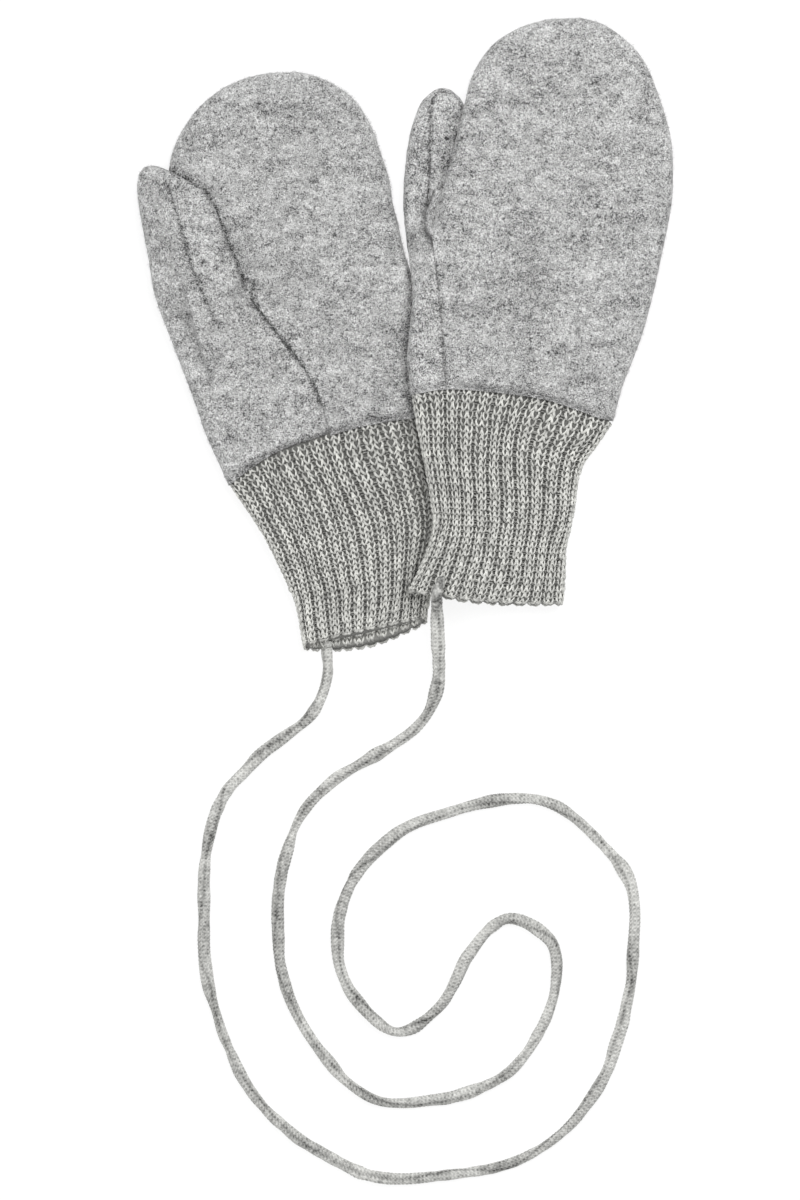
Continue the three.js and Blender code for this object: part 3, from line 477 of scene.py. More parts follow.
def spaced(length, count):
    """`count` distances from 0 to length: close together where an edge rounds over, even between."""
    margin = min(HALF, 0.25 * length)
    steps = 7  # in each rounded edge
    turn = margin * (1 - np.cos(np.linspace(0, math.pi / 2, steps + 1)))
    inner = np.linspace(margin, length - margin, count - 2 * steps)
    return np.concatenate([turn[:-1], inner, (length - turn[:-1])[::-1]])


def rolled(distance, depth, radius=1.4):
    """How far cloth dips where it turns under at a seam."""
    return depth * (1 - np.sqrt(1 - (1 - np.clip(distance / radius, 0, 1)) ** 2))


SEAM_DIP = 0.6  # along the gusset and thumb seams
CUFF_DIP = 1.5  # where the fleece ends on the cuff
CUFF_RISE = 0.35  # how far the fleece stands up beside that dip


def soft_form(p):
    """Slow unevenness of the cloth."""
    return 0.22 * noise(p, 16, 1) + 0.1 * noise(p, 6.5, 2)


def pile(p):
    """Fine unevenness of the brushed surface."""
    return 0.085 * noise(p, 2.4, 3) + 0.075 * noise(p, 1.15, 4)


# The seam that runs down the palm side of the left thumb, from its tip.
THUMB_DART = track([
    (-62.8, 39.6), (-61.5, 35.8), (-58.8, 26.5), (-56.4, 17.8), (-53.0, 9.3), (-49.8, 2.7),
])(np.linspace(0, 5, 60))


def row_line(where, first, last):
    """The points of a cloth edge from one row to another."""
    return where(np.linspace(first, last, 60))


# The side of the right mitten that lies over the left one.
OVERLAP = np.concatenate([row_line(right.edge, CROTCH_ROW, 0), row_line(right.cuff_near, 0, CUFF_ROWS)])

# The seams on which the creases lie.
LEFT_GUSSET = row_line(left.palm, 0.8, CROTCH_ROW)
LEFT_FOLD = row_line(left.fold, CROTCH_ROW, left.thumb_last)
RIGHT_GUSSET = row_line(right.back, 0, 4.5)
RIGHT_SIDE = row_line(right.back, 8.5, 12)

# Creases of each layer, with how much painted shade darkens the pile in them and how wide they are.
CREASES = {
    "left_palm": [(OVERLAP, 0.8, 1.0), (LEFT_GUSSET, 1.3, 0.55), (LEFT_FOLD, 1.3, 0.7)],
    "left_back": [(row_line(left.back, 0, CROTCH_ROW), 1.0, 0.5)],
    "left_thumb": [(LEFT_GUSSET, 1.3, 0.55), (LEFT_FOLD, 1.0, 0.5), (THUMB_DART, 1.2, 0.45)],
    "right_back": [(RIGHT_GUSSET, 0.7, 0.5), (RIGHT_SIDE, 0.35, 0.7)],
    "right_palm": [(row_line(right.palm, 0, CROTCH_ROW), 1.0, 0.5)],
    "right_thumb": [(RIGHT_GUSSET, 0.7, 0.5), (row_line(right.thumb_back, 7, right.thumb_last), 0.9, 0.45),
                    (RIGHT_SIDE, 0.5, 1.3)],
}


def crease_shade(m, name, p):
    """How much painted shade darkens the pile at each point of a layer, down in its creases and along the cuff
    seam.
    """
    shade = 0.5 * np.exp(-((nearest([m.seam_line], p[..., :2])[0] / 0.9) ** 2))
    for line, depth, width in CREASES[name]:
        off = nearest([line], p[..., :2])[0] / width
        shade = np.maximum(shade, depth * (0.75 * np.exp(-(off**2)) + 0.25 * np.exp(-((off / 3.2) ** 2))))
    return shade


def seam_relief(m, p, near_distance, sewn):
    """Dip and rise of the outer face near the cuff seam and near a sewn edge."""
    cuff = nearest([m.seam_line], p)[0]
    flat = np.concatenate([p, np.zeros(p.shape[:-1] + (1,))], -1)
    pucker = noise(flat, 2.6, 9)
    relief = -rolled(cuff, CUFF_DIP, 1.7) + CUFF_RISE * smooth(1 - abs(cuff - 2.0) / 2.6)
    relief += 0.12 * pucker * np.exp(-cuff / 3)
    relief -= sewn * rolled(near_distance, SEAM_DIP)
    relief += sewn * (0.16 * smooth(1 - abs(near_distance - 2.2) / 2.4)
                      + 0.07 * pucker * np.exp(-near_distance / 2.5))
    return relief


def panel(m, near, up, rows, across):
    """Fine outer and coarse inner grid of a palm or back panel. up: 1 for the upper layer, -1 for the other."""
    start = m.seam_place(near(0))
    scale = np.linspace(0, m.last, 400)
    middle = (near(scale) + m.far(scale)) / 2
    run = np.concatenate([[0], np.cumsum(np.hypot(*np.diff(middle, axis=0).T))])
    row = np.interp(spaced(run[-1], rows), run, scale)
    joined = smooth(HAND_FROM_ROW - 0.5 - row)
    a, b = near(row), m.far(row)
    reach = np.interp(row, *m.crotch.T) * (up > 0)
    a = a - unit(b - a) * (SEAM_LAP * joined + reach)[:, None]
    width = np.hypot(*(b - a).T)
    f = np.stack([spaced(w, across) / w for w in width])[..., None]
    p = mix(a[:, None], b[:, None], f)
    bend = (np.maximum(0, 1 - row / 3) ** 2)[:, None, None]
    on_seam = m.seam(mix(start, 1, f[..., 0]))
    p = p + bend * (on_seam - mix(m.seam(start), m.seam(1), f))
    lap = np.maximum(0, 1 - row / 0.5)[:, None] * smooth((1 - f[..., 0]) / 0.1)
    p = p - m.along * (CUFF_LAP * lap)[..., None]
    distance, inward = m.edge_at(p)
    flat = np.minimum(distance / HALF, 1)
    round_ = np.sqrt(1 - (1 - flat) ** 2)
    crown = m.crown(p, distance) if up > 0 else 0
    folded = m.folded(p) * round_ if up > 0 else 0
    top = HALF + crown
    from_edge = f[..., 0] * width[:, None] - reach[:, None]
    sewn = joined * (1 - 0.6 * (m is right) * smooth(row - 3.5))
    relief = seam_relief(m, p, abs(from_edge), sewn[:, None]) - 0.5 * (m is left) * smooth(-from_edge)
    relief = relief * round_
    z = m.bed(p) + HALF - folded + up * (mix(GAP / 2, top, round_) + relief)
    outer = np.concatenate([p, z[..., None]], -1)
    outer[..., 2] += up * soft_form(outer) * round_
    q = (p + inward * (WALL * (1 - flat))[..., None])[::COARSE, ::COARSE]
    round_in = round_[::COARSE, ::COARSE]
    top_in = (top if up < 0 else top[::COARSE, ::COARSE]) - WALL
    folded_in = m.folded(q) * round_in if up > 0 else 0
    z_in = m.bed(q) + HALF - folded_in + up * mix(GAP / 2, top_in, round_in)
    return outer, np.concatenate([q, z_in[..., None]], -1)


TIP_BULGE = 0.7  # how far the tip of the thumb is rounded out
# Points of a section of the thumb: across the back, round the outer edge, over the top and under the fold.
BACK, TURN, TOP, TAIL = 24, 20, 36, 44
FAR = 99.0  # for points that aren't near a sewn edge


def thumb_grid(m, rows):
    """Fine outer and coarse inner grid of the gusset and thumb."""
    scale = np.linspace(m.thumb_last, 0, 1401)
    middle = (m.edge(scale) + m.fold(scale)) / 2
    to_tip = np.concatenate([[0], np.cumsum(np.hypot(*np.diff(middle, axis=0).T))])
    places = spaced(to_tip[-1], rows)[::-1]
    back_on_seam, palm_on_seam = m.seam_place(m.thumb_back(0)), m.seam_place(m.thumb_palm(0))
    tip_way = unit(middle[0] - middle[60])

    def section(row, depth, round_):
        """Points round the cloth at a row, from its sewn edge on the back to the one on the palm."""
        e, f = m.edge(row), m.fold(row)
        lift, free, turn = m.lift(row), m.free(row), m.turn(row)
        seam_end = -SEAM_LAP if row < CROTCH_ROW else 0
        half = mix(HALF, THUMB_HALF, lift)
        radius = half - depth
        direction = unit(f - e)
        width = np.hypot(*(f - e))
        back = m.thumb_back(row) + unit(e - m.thumb_back(row)) * seam_end
        palm = m.thumb_palm(row) + unit(e - m.thumb_palm(row)) * seam_end
        # Past the crotch the two edges of the thumb are sewn to each other.
        joined = smooth((row - 7.3) / 0.7) * unit(palm - back) * (GAP / 2 + SEAM_LAP)
        back, palm = back + joined, palm - joined
        turn_width = min(half, 0.42 * width, 0.9 * np.hypot(*(back - e)))
        turn_radius = max(turn_width - depth, 0.2)
        centre = e + direction * turn_width
        back_length = np.hypot(*(back - centre))
        fold_width = min(half, 0.42 * width)
        start = f - direction * fold_width * min(1, 2 * turn)
        fold_radius = max(fold_width - depth, 0.2)
        angle = math.pi * turn
        reach = np.hypot(*(palm - start))
        tail = mix(reach, CROTCH_TAIL, 1 - abs(2 * turn - 1))
        palm_length = half * angle + tail
        top_length = np.hypot(*(start - centre))
        tail_way = unit(palm - e) if turn < 0.5 else direction
        t = np.arange(BACK) / BACK
        parts = [(mix(back, centre, t[:, None]), np.full(BACK, -radius), back_length * t, np.full(BACK, FAR))]
        a = math.pi * np.arange(TURN + 1) / TURN
        parts.append((centre - direction * (turn_radius * np.sin(a))[:, None], -radius * np.cos(a),
                      back_length + half * a, np.full(TURN + 1, FAR)))
        t = np.arange(1, TOP + 1) / TOP
        parts.append((mix(centre, start, t[:, None]), np.full(TOP, radius), np.full(TOP, FAR),
                      palm_length + top_length * (1 - t)))
        s = palm_length * np.arange(1, TAIL + 1) / TAIL
        a = np.minimum(s / half, angle)
        flat_run = np.maximum(s - half * angle, 0)
        p = start + tail_way * (fold_radius * np.sin(a) + flat_run * math.cos(angle))[:, None]
        if turn == 1:
            p = np.where((flat_run > 0)[:, None], mix(start, palm, (flat_run / tail)[:, None]), p)
        parts.append((p, radius * np.cos(a) - flat_run * math.sin(angle), np.full(TAIL, FAR),
                      palm_length - s))
        p, height, from_back, from_palm = (np.concatenate(x) for x in zip(*parts))
        # Near the cuff the section bends with the cuff seam, on each side up to its own cloth edge.
        on_back = (from_palm == FAR) & (height < 0)
        end = np.where(on_back[:, None], back, palm)
        on_seam = np.where(on_back, back_on_seam, palm_on_seam)
        t = np.minimum(np.hypot(*(p - e).T) / np.hypot(*(end - e).T), 1)
        bend = max(0, 1 - row / 3) ** 2
        p = p + bend * (m.seam(on_seam * t) - mix(m.seam(0), m.seam(on_seam), t[:, None]))
        p = p - m.along * CUFF_LAP * max(0, 1 - row / 0.5)
        u = np.clip((p - e) @ direction / width, 0, 1)
        p = p + tip_way * (TIP_BULGE * (1 - round_) * 4 * u * (1 - u))[:, None]
        away = np.maximum(free, smooth(from_palm / 8))
        level = lift * np.maximum(free, np.minimum(smooth(from_back / 7), smooth(from_palm / 8)))
        distance = m.edge_at(p)[0]
        on_hand = np.where(height * m.palm_side > 0, 1 - lift * away, 0)
        swell = on_hand * (m.crown(p, distance) - m.folded(p)) * abs(height) / max(radius, 0.01)
        z = mix(m.bed(p) + HALF, m.thumb_middle(p), level)
        rise = mix(np.clip(height, -GAP / 2, GAP / 2), height, round_)
        if depth == 0:
            relief = seam_relief(m, p, np.minimum(from_back, from_palm), 1)
            if m is left:
                off = nearest([THUMB_DART], p)[0]
                dip = 0.55 * np.exp(-((off / 0.6) ** 2)) - 0.15 * smooth(1 - abs(off - 1.8) / 1.8)
                relief -= np.where(height > 0, dip, 0)
            rise = rise + relief * round_ * height / max(radius, 0.01)
        return np.concatenate([p, (z + m.palm_side * rise + swell)[:, None]], 1)

    outer, inner = [], []
    for k, place in enumerate(places):
        flat = min(place / THUMB_HALF, 1)
        round_ = math.sqrt(1 - (1 - flat) ** 2)
        outer.append(section(np.interp(place, to_tip, scale), 0, round_))
        if k % COARSE == 0:
            inner.append(section(np.interp(place + WALL * (1 - flat), to_tip, scale), WALL, round_)[::COARSE])
    return np.array(outer), np.array(inner)


def shade_nodes(mat):
    """The node tree of a new material, its shader and a helper that adds and links nodes."""
    mat.use_nodes = True
    tree = mat.node_tree
    shader = tree.nodes["Principled BSDF"]

    def add(kind, inputs=(), **settings):
        node = tree.nodes.new(kind)
        for key, value in settings.items():
            setattr(node, key, value)
        for key, value in dict(inputs).items():
            if isinstance(value, bpy.types.NodeSocket):
                tree.links.new(value, node.inputs[key])
            else:
                node.inputs[key].default_value = value
        return node

    return tree, shader, add


def wool_material(name, dark, light, grains, height_share, bump_size, bump_depth, sheen):
    """Melange wool, from the dark colour to the light one by the mesh's shade value, which carries painted
    shade, and by grains.

    grains: size in millimetres, share of the shade and stretch along x of each noise.
    """
    mat = bpy.data.materials.new(name)
    tree, shader, add = shade_nodes(mat)
    place = add("ShaderNodeTexCoord").outputs["Object"]
    # The "height" attribute is the shade value: painted shade in creases, pits and sunken yarn, with some tone
    # of the wool's own.
    height = add("ShaderNodeAttribute", attribute_name="height").outputs["Fac"]
    level = add("ShaderNodeMath", {0: height, 1: height_share, 2: 0.5 - height_share / 2},
                operation="MULTIPLY_ADD").outputs[0]
    for size, share, stretch in grains:
        spot = add("ShaderNodeMapping", {"Vector": place, "Scale": (1 / stretch, 1, 1)}).outputs[0]
        grain = add("ShaderNodeTexNoise",
                    {"Vector": spot, "Scale": 1000 / size, "Detail": 2.5, "Roughness": 0.6})
        centred = add("ShaderNodeMath", {0: grain.outputs["Fac"], 1: 0.5}, operation="SUBTRACT").outputs[0]
        level = add("ShaderNodeMath", {0: centred, 1: share, 2: level}, operation="MULTIPLY_ADD").outputs[0]
    colour = add("ShaderNodeMix", {"Factor": level, 6: (*dark, 1), 7: (*light, 1)}, data_type="RGBA")
    tree.links.new(colour.outputs[2], shader.inputs["Base Color"])
    fuzz = add("ShaderNodeTexNoise", {"Vector": place, "Scale": 1000 / bump_size, "Detail": 2.0})
    rough = add("ShaderNodeMapRange", {"Value": fuzz.outputs["Fac"], "To Min": 0.82, "To Max": 1.0})
    tree.links.new(rough.outputs[0], shader.inputs["Roughness"])
    bump = add("ShaderNodeBump",
               {"Height": fuzz.outputs["Fac"], "Distance": bump_depth * MM, "Strength": 1.0})
    tree.links.new(bump.outputs[0], shader.inputs["Normal"])
    shader.inputs["Specular IOR Level"].default_value = 0.15
    shader.inputs["Sheen Weight"].default_value = sheen
    shader.inputs["Sheen Roughness"].default_value = 0.6
    return mat


FLEECE = wool_material(
    "fleece", (0.04, 0.04, 0.04), (0.90, 0.90, 0.895),
    [(0.36, 2.6, 1), (0.8, 1.3, 1), (2.4, 0.75, 1.6), (4.5, 0.55, 3.0), (12.0, 0.28, 2.0)],
    height_share=0.3, bump_size=0.5, bump_depth=0.35, sheen=0.2)
NAP = wool_material(
    "nap", (0.16, 0.16, 0.16), (0.93, 0.93, 0.925), [(0.8, 1.0, 1), (3.0, 0.7, 1.6)],
    height_share=0.4, bump_size=0.3, bump_depth=0.02, sheen=0.2)
KNIT = wool_material(
    "rib_knit", (0.12, 0.12, 0.114), (0.94, 0.94, 0.895), [(0.6, 0.9, 1), (1.6, 0.9, 1), (9.0, 0.5, 1)],
    height_share=0.55, bump_size=0.22, bump_depth=0.12, sheen=0.15)
# The ground between the stitches is painted dark: painted shade for the holes between them.
GROUND = wool_material(
    "rib_ground_painted_shade", (0.09, 0.09, 0.085), (0.40, 0.40, 0.38), [(0.7, 0.6, 1)],
    height_share=0.5, bump_size=0.25, bump_depth=0.12, sheen=0.05)
CORD = wool_material(
    "cord_knit", (0.06, 0.06, 0.057), (0.92, 0.92, 0.885), [(0.55, 0.9, 1), (1.5, 0.7, 1), (6.0, 0.5, 1)],
    height_share=0.7, bump_size=0.25, bump_depth=0.12, sheen=0.2)


def from_rim(count):
    """How many steps each of `count` places in a row is from the nearer end."""
    return np.minimum(np.arange(count), np.arange(count)[::-1])


def brushed(m, node, outer, inner, side, fibres):
    """The visual piece of one fleece solid, with its nap as a piece of its own.

    side: 1 where the piece faces up, -1 where it faces down, 0 for a thumb, whose grid turns the right way.
    """
    normal = grid_normals(outer)
    if np.mean(normal[..., 2] * side) < 0:
        normal = -normal
    lump = pile(outer)
    edge = np.minimum.outer(from_rim(outer.shape[0]), from_rim(outer.shape[1]))
    face = outer + normal * (lump * np.clip(edge / 4, 0.2, 1))[..., None]
    face[..., 2] = np.maximum(face[..., 2], TABLE_CLEAR)
    points, faces = wall(face, inner)
    # Painted shade: the pile is darker down in its creases and in the dips between its lumps.
    shade = crease_shade(m, node, face)
    values = np.concatenate([(0.5 + lump * 3 - shade).ravel(), np.full(inner.size // 3, 0.3)])
    piece = make_object(node + "_cloth", points, faces, FLEECE, values)
    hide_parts(node)
    nap = nap_on(node + "_nap", face, normal, np.exp(-2 * shade), fibres)
    return piece, nap


def nap_on(name, grid, normal, density, count):
    """Short loose fibres on a grid of points: tapered slivers, lying over in all directions."""
    a, b, c = grid[:-1, :-1], grid[:-1, 1:], grid[1:, :-1]
    area = (density[:-1, :-1] * np.linalg.norm(np.cross(b - a, c - a), axis=-1)).ravel()
    area[(a[..., 2] < 0.3).ravel()] = 0
    cell = np.searchsorted(np.cumsum(area), rng.random(count) * area.sum())
    cell = np.minimum(cell, len(area) - 1)
    i, j = cell // a.shape[1], cell % a.shape[1]
    u, v = rng.random((2, count, 1))
    root = mix(mix(grid[i, j], grid[i, j + 1], u), mix(grid[i + 1, j], grid[i + 1, j + 1], u), v)
    n = normal[i, j]
    lay = unit(np.cross(n, rng.normal(size=(count, 3))))
    turned = unit(lay + 0.7 * np.cross(n, lay) * rng.normal(size=(count, 1)))
    length = rng.uniform(0.7, 1.9, (count, 1))
    rise = rng.uniform(0.1, 0.55, (count, 1))
    middle = root + 0.5 * length * unit(lay + n * rise)
    tip = middle + 0.5 * length * unit(turned + n * (rise - 0.3))
    half = rng.uniform(0.025, 0.06, (count, 1))
    side = unit(np.cross(n, lay)) * half
    side2 = unit(np.cross(n, turned)) * half * 0.8
    root = root - n * 0.05
    points = np.stack([root - side, root + side, middle - side2, middle + side2, tip], 1)
    points[..., 2] = np.maximum(points[..., 2], 0.01)
    base = 5 * np.arange(count)[:, None]
    faces = [base + np.array([0, 1, 3, 2]), base + np.array([2, 3, 4])]
    shade = np.repeat(rng.random(count), 5)
    return make_object(name, points, faces, NAP, shade)


def cuff_girth(m, t):
    """Length once round a cuff at row t."""
    width = np.linalg.norm(m.cuff_far(t) - m.cuff_near(t), axis=-1)
    return 2 * (width - 2 * CUFF_HALF) + 2 * math.pi * CUFF_HALF


def cuff_point(m, g, t, h):
    """A point of a cuff: g goes once round from its left edge over the top, t is its row, h goes outward."""
    g = np.mod(g, 1)
    tc = np.clip(t, 0, CUFF_ROWS)
    a, b = m.cuff_near(tc), m.cuff_far(tc)
    width = np.linalg.norm(b - a, axis=-1)
    direction = unit(b - a)
    flat, arc = width - 2 * CUFF_HALF, math.pi * CUFF_HALF
    s = g * (2 * flat + 2 * arc)
    # The section is half a round side, the flat top, the other round side, the flat underside, and the rest.
    bounds = [s < arc / 2, s < arc / 2 + flat, s < 1.5 * arc + flat, s < 1.5 * arc + 2 * flat]
    first, third = s / CUFF_HALF, (s - arc / 2 - flat) / CUFF_HALF
    last = (s - 1.5 * arc - 2 * flat) / CUFF_HALF
    x = np.select(bounds, [CUFF_HALF + 0 * s, CUFF_HALF + s - arc / 2, width - CUFF_HALF,
                           width - CUFF_HALF - (s - 1.5 * arc - flat)], CUFF_HALF)
    out_x = np.select(bounds, [-np.cos(first), 0, np.sin(third), 0], -np.sin(last))
    out_z = np.select(bounds, [np.sin(first), 1, np.cos(third), -1], -np.cos(last))
    across, up = x + out_x * (CUFF_HALF + h), out_z * (CUFF_HALF + h)
    u = np.clip(across / width, 0, 1)
    p = a + direction * across[..., None]
    bow = m.seam(u) - mix(m.seam(0), m.seam(1), u[..., None])
    p = p + bow * (np.maximum(0, 1 - tc / 5) ** 2)[..., None]
    reach = tc / CUFF_ROWS
    hem = smooth((reach - 0.55) / 0.45)
    slip = m.hem_slip * smooth(0.5 - up / CUFF_HALF / 2) * reach**3 * (0.25 + 0.75 * np.sin(math.pi * u))
    down = m.hem_bow * 4 * u * (1 - u) * hem + slip + (t - tc) * ROW_LENGTH
    p = p - m.along * down[..., None]
    dent = m.folded(p) * np.maximum(out_z, 0)
    z = m.bed(p) + CUFF_HALF + up - dent
    return np.concatenate([p, z[..., None]], -1)


STITCH_WIDTH = 2.0  # most that a column of knit stitches is wide
GROOVE = 0.75  # least width between two ribs
GROUND_DEPTH = 0.6  # the ground between stitches lies this far under their tops
YARN = 0.31  # radius of the yarn in the knit columns
PURL_YARN = 0.23
HEM_YARN = 0.32


def rib_spot(r, t, along):
    """Rib place r and row t as a point that closes round the cuff, for noise in ribs."""
    around = 2 * math.pi * r / RIBS
    return np.stack([3.8 * np.cos(around), 3.8 * np.sin(around), t * along + 0 * r], -1)


def rib_warp(r, t):
    """How far a rib strays round the cuff, in ribs."""
    slow = (0.24 + 0.32 * smooth(1 - t / 3)) * noise(rib_spot(r, t, 0.8), 2.3, 5)
    return slow + 0.07 * noise(rib_spot(r, t, 1.6), 1.1, 6)


def stitch_width(m, r, t):
    """Width of a column of knit stitches. Near the cuff seam the ribs are pulled apart in places."""
    pitch = cuff_girth(m, np.clip(t, 0, CUFF_ROWS)) / RIBS
    pulled = smooth(1.4 * noise(rib_spot(np.floor(r) + 0.5, t, 0.7), 1.5, 8) - 0.1) * smooth(1 - t / 4.5)
    return np.minimum((pitch - GROOVE) / 2, STITCH_WIDTH) * (1 - 0.28 * pulled)


def rib_level(m, r, t):
    """Height of the rib surface at rib place r, under the outer face of the cuff."""
    pitch = cuff_girth(m, t) / RIBS
    stitch = stitch_width(m, r, t)
    off = abs(np.mod(r, 1) - 0.5) * pitch
    groove = np.maximum(pitch / 2 - stitch, 0.1)
    drop = 0.85 * smooth((off - 0.75 * stitch) / (groove + 0.2 * stitch))
    drop = drop + 0.14 * smooth(1 - off / (0.35 * stitch))
    return -drop * (1 - 0.5 * smooth(t - 7)) - 0.12 * abs(noise(rib_spot(r, t, 1), 1.6, 7))


def hem_scallop(r, t):
    """How far down, in rows, a rib end hangs below the groove beside it."""
    return 0.025 * np.cos(2 * math.pi * (r - 0.5)) * smooth((t - 6.8) / 1.2)


def tubes(paths, radii, sides):
    """Rings of points round many short paths, given in (across, along, out) millimetres."""
    way = unit(np.gradient(paths, axis=1))
    side = unit(np.cross(way, [0, 0, 1]))
    out = np.cross(side, way)
    a = 2 * math.pi * np.arange(sides) / sides
    ring = side[:, :, None] * np.cos(a)[:, None] + out[:, :, None] * np.sin(a)[:, None]
    return paths[:, :, None] + ring * radii[:, :, None, None]


def tube_faces(count, rings, sides, first=0):
    """Quads round `count` tubes whose points follow each other from index `first`."""
    base = first + np.arange(count)[:, None, None] * rings * sides
    ring = np.arange(rings - 1)[None, :, None] * sides
    s = np.arange(sides)[None, None]
    n = (s + 1) % sides
    quads = np.stack([base + ring + s, base + ring + n, base + ring + sides + n, base + ring + sides + s], -1)
    return quads.reshape(-1, 4)


def stitches(m, name):
    """Knit stitches in pairs on each rib, purl bars between ribs, and the cast-on loops along the hem."""
    points, faces, values = [], [], []
    used = 0

    def add(rib, shift, course, path, radius, level, sides, inside=False):
        """Place tubes on the cuff. rib, shift from it in mm, course: one for each tube.

        path: (tubes, rings, 3), across in mm, along in courses, out in mm.
        """
        nonlocal used
        row = CUFF_ROWS * (1 - (course[:, None] + path[..., 1]) / COURSES)
        pitch = cuff_girth(m, np.clip(row[:, 2], 0, CUFF_ROWS)) / RIBS
        step = CUFF_ROWS * ROW_LENGTH / COURSES
        local = path * np.array([1, step, 1])
        local[..., 0] += shift[:, None]
        ring = tubes(local, radius, sides)
        r = rib[:, None, None] + ring[..., 0] / pitch[:, None, None]
        t = CUFF_ROWS * (1 - (course[:, None, None] + ring[..., 1] / step) / COURSES)
        h = ring[..., 2] + rib_level(m, r, np.clip(t, 0, CUFF_ROWS))
        if inside:
            h = -CUFF_WALL - ring[..., 2] - 0.35
        placed = cuff_point(m, (r + rib_warp(r, t)) / RIBS, t + hem_scallop(r, t), h)
        placed[..., 2] = np.maximum(placed[..., 2], TABLE_CLEAR)
        points.append(placed.reshape(-1, 3))
        faces.append(tube_faces(len(rib), path.shape[1], sides, used))
        # Painted shadow: the left cuff is darker where the right mitten lies over it.
        shade = 0.7 * np.exp(-nearest([OVERLAP], placed[:, :, 0, :2])[0] / 2) if m is left else 0
        values.append(np.repeat((level - shade).ravel(), sides))
        used += placed.size // 3

    rib, side, course, leg = (x.ravel() for x in np.meshgrid(
        np.arange(RIBS) + 0.5, [-1, 1], np.arange(COURSES), [-1, 1], indexing="ij"))
    count = len(rib)
    stitch = stitch_width(m, rib, CUFF_ROWS * (1 - course / COURSES))
    # One leg of a knit stitch: the other one mirrors it, and together they make a V.
    shape = np.array([(0.02, -0.14, -0.55), (0.12, 0.08, -0.25), (0.31, 0.34, -0.2),
                      (0.42, 0.64, -0.2), (0.38, 0.94, -0.3), (0.16, 1.14, -0.65)])
    path = np.repeat(shape[None], count, 0)
    path[..., 0] *= (leg * stitch * rng.uniform(0.88, 1.12, count))[:, None]
    path[..., 0] += (rng.normal(0, 0.06, count))[:, None]
    path[..., 1] += rng.normal(0, 0.08, count)[:, None]
    path[..., 2] += rng.normal(0, 0.06, count)[:, None]
    radius = np.array([0.2, 0.85, 1, 1, 0.85, 0.2]) * YARN * rng.uniform(0.85, 1.15, (count, 1))
    # Painted shade: each leg is darker at its ends, where the yarn sinks under its neighbours; the random part
    # is the yarn's own tone.
    level = np.array([0, 0.5, 0.85, 0.85, 0.55, 0]) + rng.uniform(-0.1, 0.35, (count, 1))
    add(rib, side * stitch / 2, course, path, radius, level, 5)
    # The inner face shows only just inside the hem; its stitches are painted lighter there, as painted light
    # against the shade under the hem.
    low = course < 3
    add(rib[low], (side * stitch / 2)[low], course[low], path[low], radius[low] * 1.3, level[low] + 0.3, 3,
        inside=True)

    # Purl bars across the grooves, two for each course.
    rib, course = (x.ravel() for x in np.meshgrid(
        np.arange(RIBS), np.arange(0, COURSES, 0.5), indexing="ij"))
    row = CUFF_ROWS * (1 - course / COURSES)
    groove = cuff_girth(m, row) / RIBS - stitch_width(m, rib - 0.5, row) - stitch_width(m, rib + 0.5, row)
    rib, course, groove = rib[groove > 0.25], course[groove > 0.25], groove[groove > 0.25]
    count = len(rib)
    shape = np.array([(-0.75, -0.15, -0.3), (-0.3, 0.12, 0.0), (0.3, 0.12, 0.0), (0.75, -0.15, -0.3)])
    path = np.repeat(shape[None], count, 0)
    path[..., 0] *= groove[:, None]
    path[..., 1] *= np.where(course % 1 == 0, 1, -1)[:, None]
    path[..., 1] += rng.normal(0, 0.06, (count, 1))
    radius = np.array([0.4, 1, 1, 0.4]) * PURL_YARN * rng.uniform(0.8, 1.2, (count, 1))
    # Painted shade: each bar is darker at its ends, where it dips into the groove; the random part is the
    # yarn's own tone.
    level = np.array([-0.25, 0.2, 0.2, -0.25]) + rng.uniform(-0.15, 0.25, (count, 1))
    add(rib.astype(float), np.zeros(count), course, path, radius, level, 3)

    # Cast-on loops, one under each column of knit stitches.
    rib, side = (x.ravel() for x in np.meshgrid(np.arange(RIBS) + 0.5, [-1, 1], indexing="ij"))
    count = len(rib)
    stitch = float(stitch_width(m, np.array([0.5]), np.array([float(CUFF_ROWS)]))[0])
    shape = np.array([(-0.45, 0.25, -0.6), (-0.42, -0.08, -0.25), (0, -0.24, -0.2),
                      (0.42, -0.08, -0.25), (0.45, 0.25, -0.6)])
    path = np.repeat(shape[None], count, 0)
    path[..., 0] *= stitch
    path[..., 1] += rng.normal(0, 0.06, (count, 1))
    radius = np.array([0.4, 1, 1, 1, 0.4]) * HEM_YARN * rng.uniform(0.8, 1.2, (count, 1))
    # Painted shade: each loop is darker at its ends, where it turns under; the random part is the yarn's own
    # tone.
    level = np.array([0, 0.5, 0.7, 0.5, 0]) + rng.uniform(-0.2, 0.2, (count, 1))
    add(rib, side * stitch / 2, np.zeros(count), path, radius, level, 6)
    return make_object(name, np.concatenate(points), faces, KNIT, np.concatenate(values))


def cuff(m, name):
    """The ground of a cuff, a ribbed wall, with its stitches as a piece of their own."""
    r, t = np.meshgrid(np.arange(RIBS * 10) / 10, np.linspace(-0.25, CUFF_ROWS, 49))
    level = rib_level(m, r, t) - smooth(-t / 0.25)
    outer = cuff_point(m, (r + rib_warp(r, t)) / RIBS, t + hem_scallop(r, t), level - GROUND_DEPTH)
    outer[..., 2] = np.maximum(outer[..., 2], TABLE_CLEAR)
    r, t = r[::COARSE, ::COARSE], t[::COARSE, ::COARSE]
    inner = cuff_point(m, r / RIBS, t, np.full(r.shape, -CUFF_WALL))
    points, faces = wall(outer, inner, ring=True)
    values = np.concatenate([np.clip(-level.ravel() * 0.5, 0, 1), np.full(inner.size // 3, 0.9)])
    ground = make_object(name + "_ground", points, faces, GROUND, values)
    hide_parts(name)
    return ground, stitches(m, name + "_stitches")


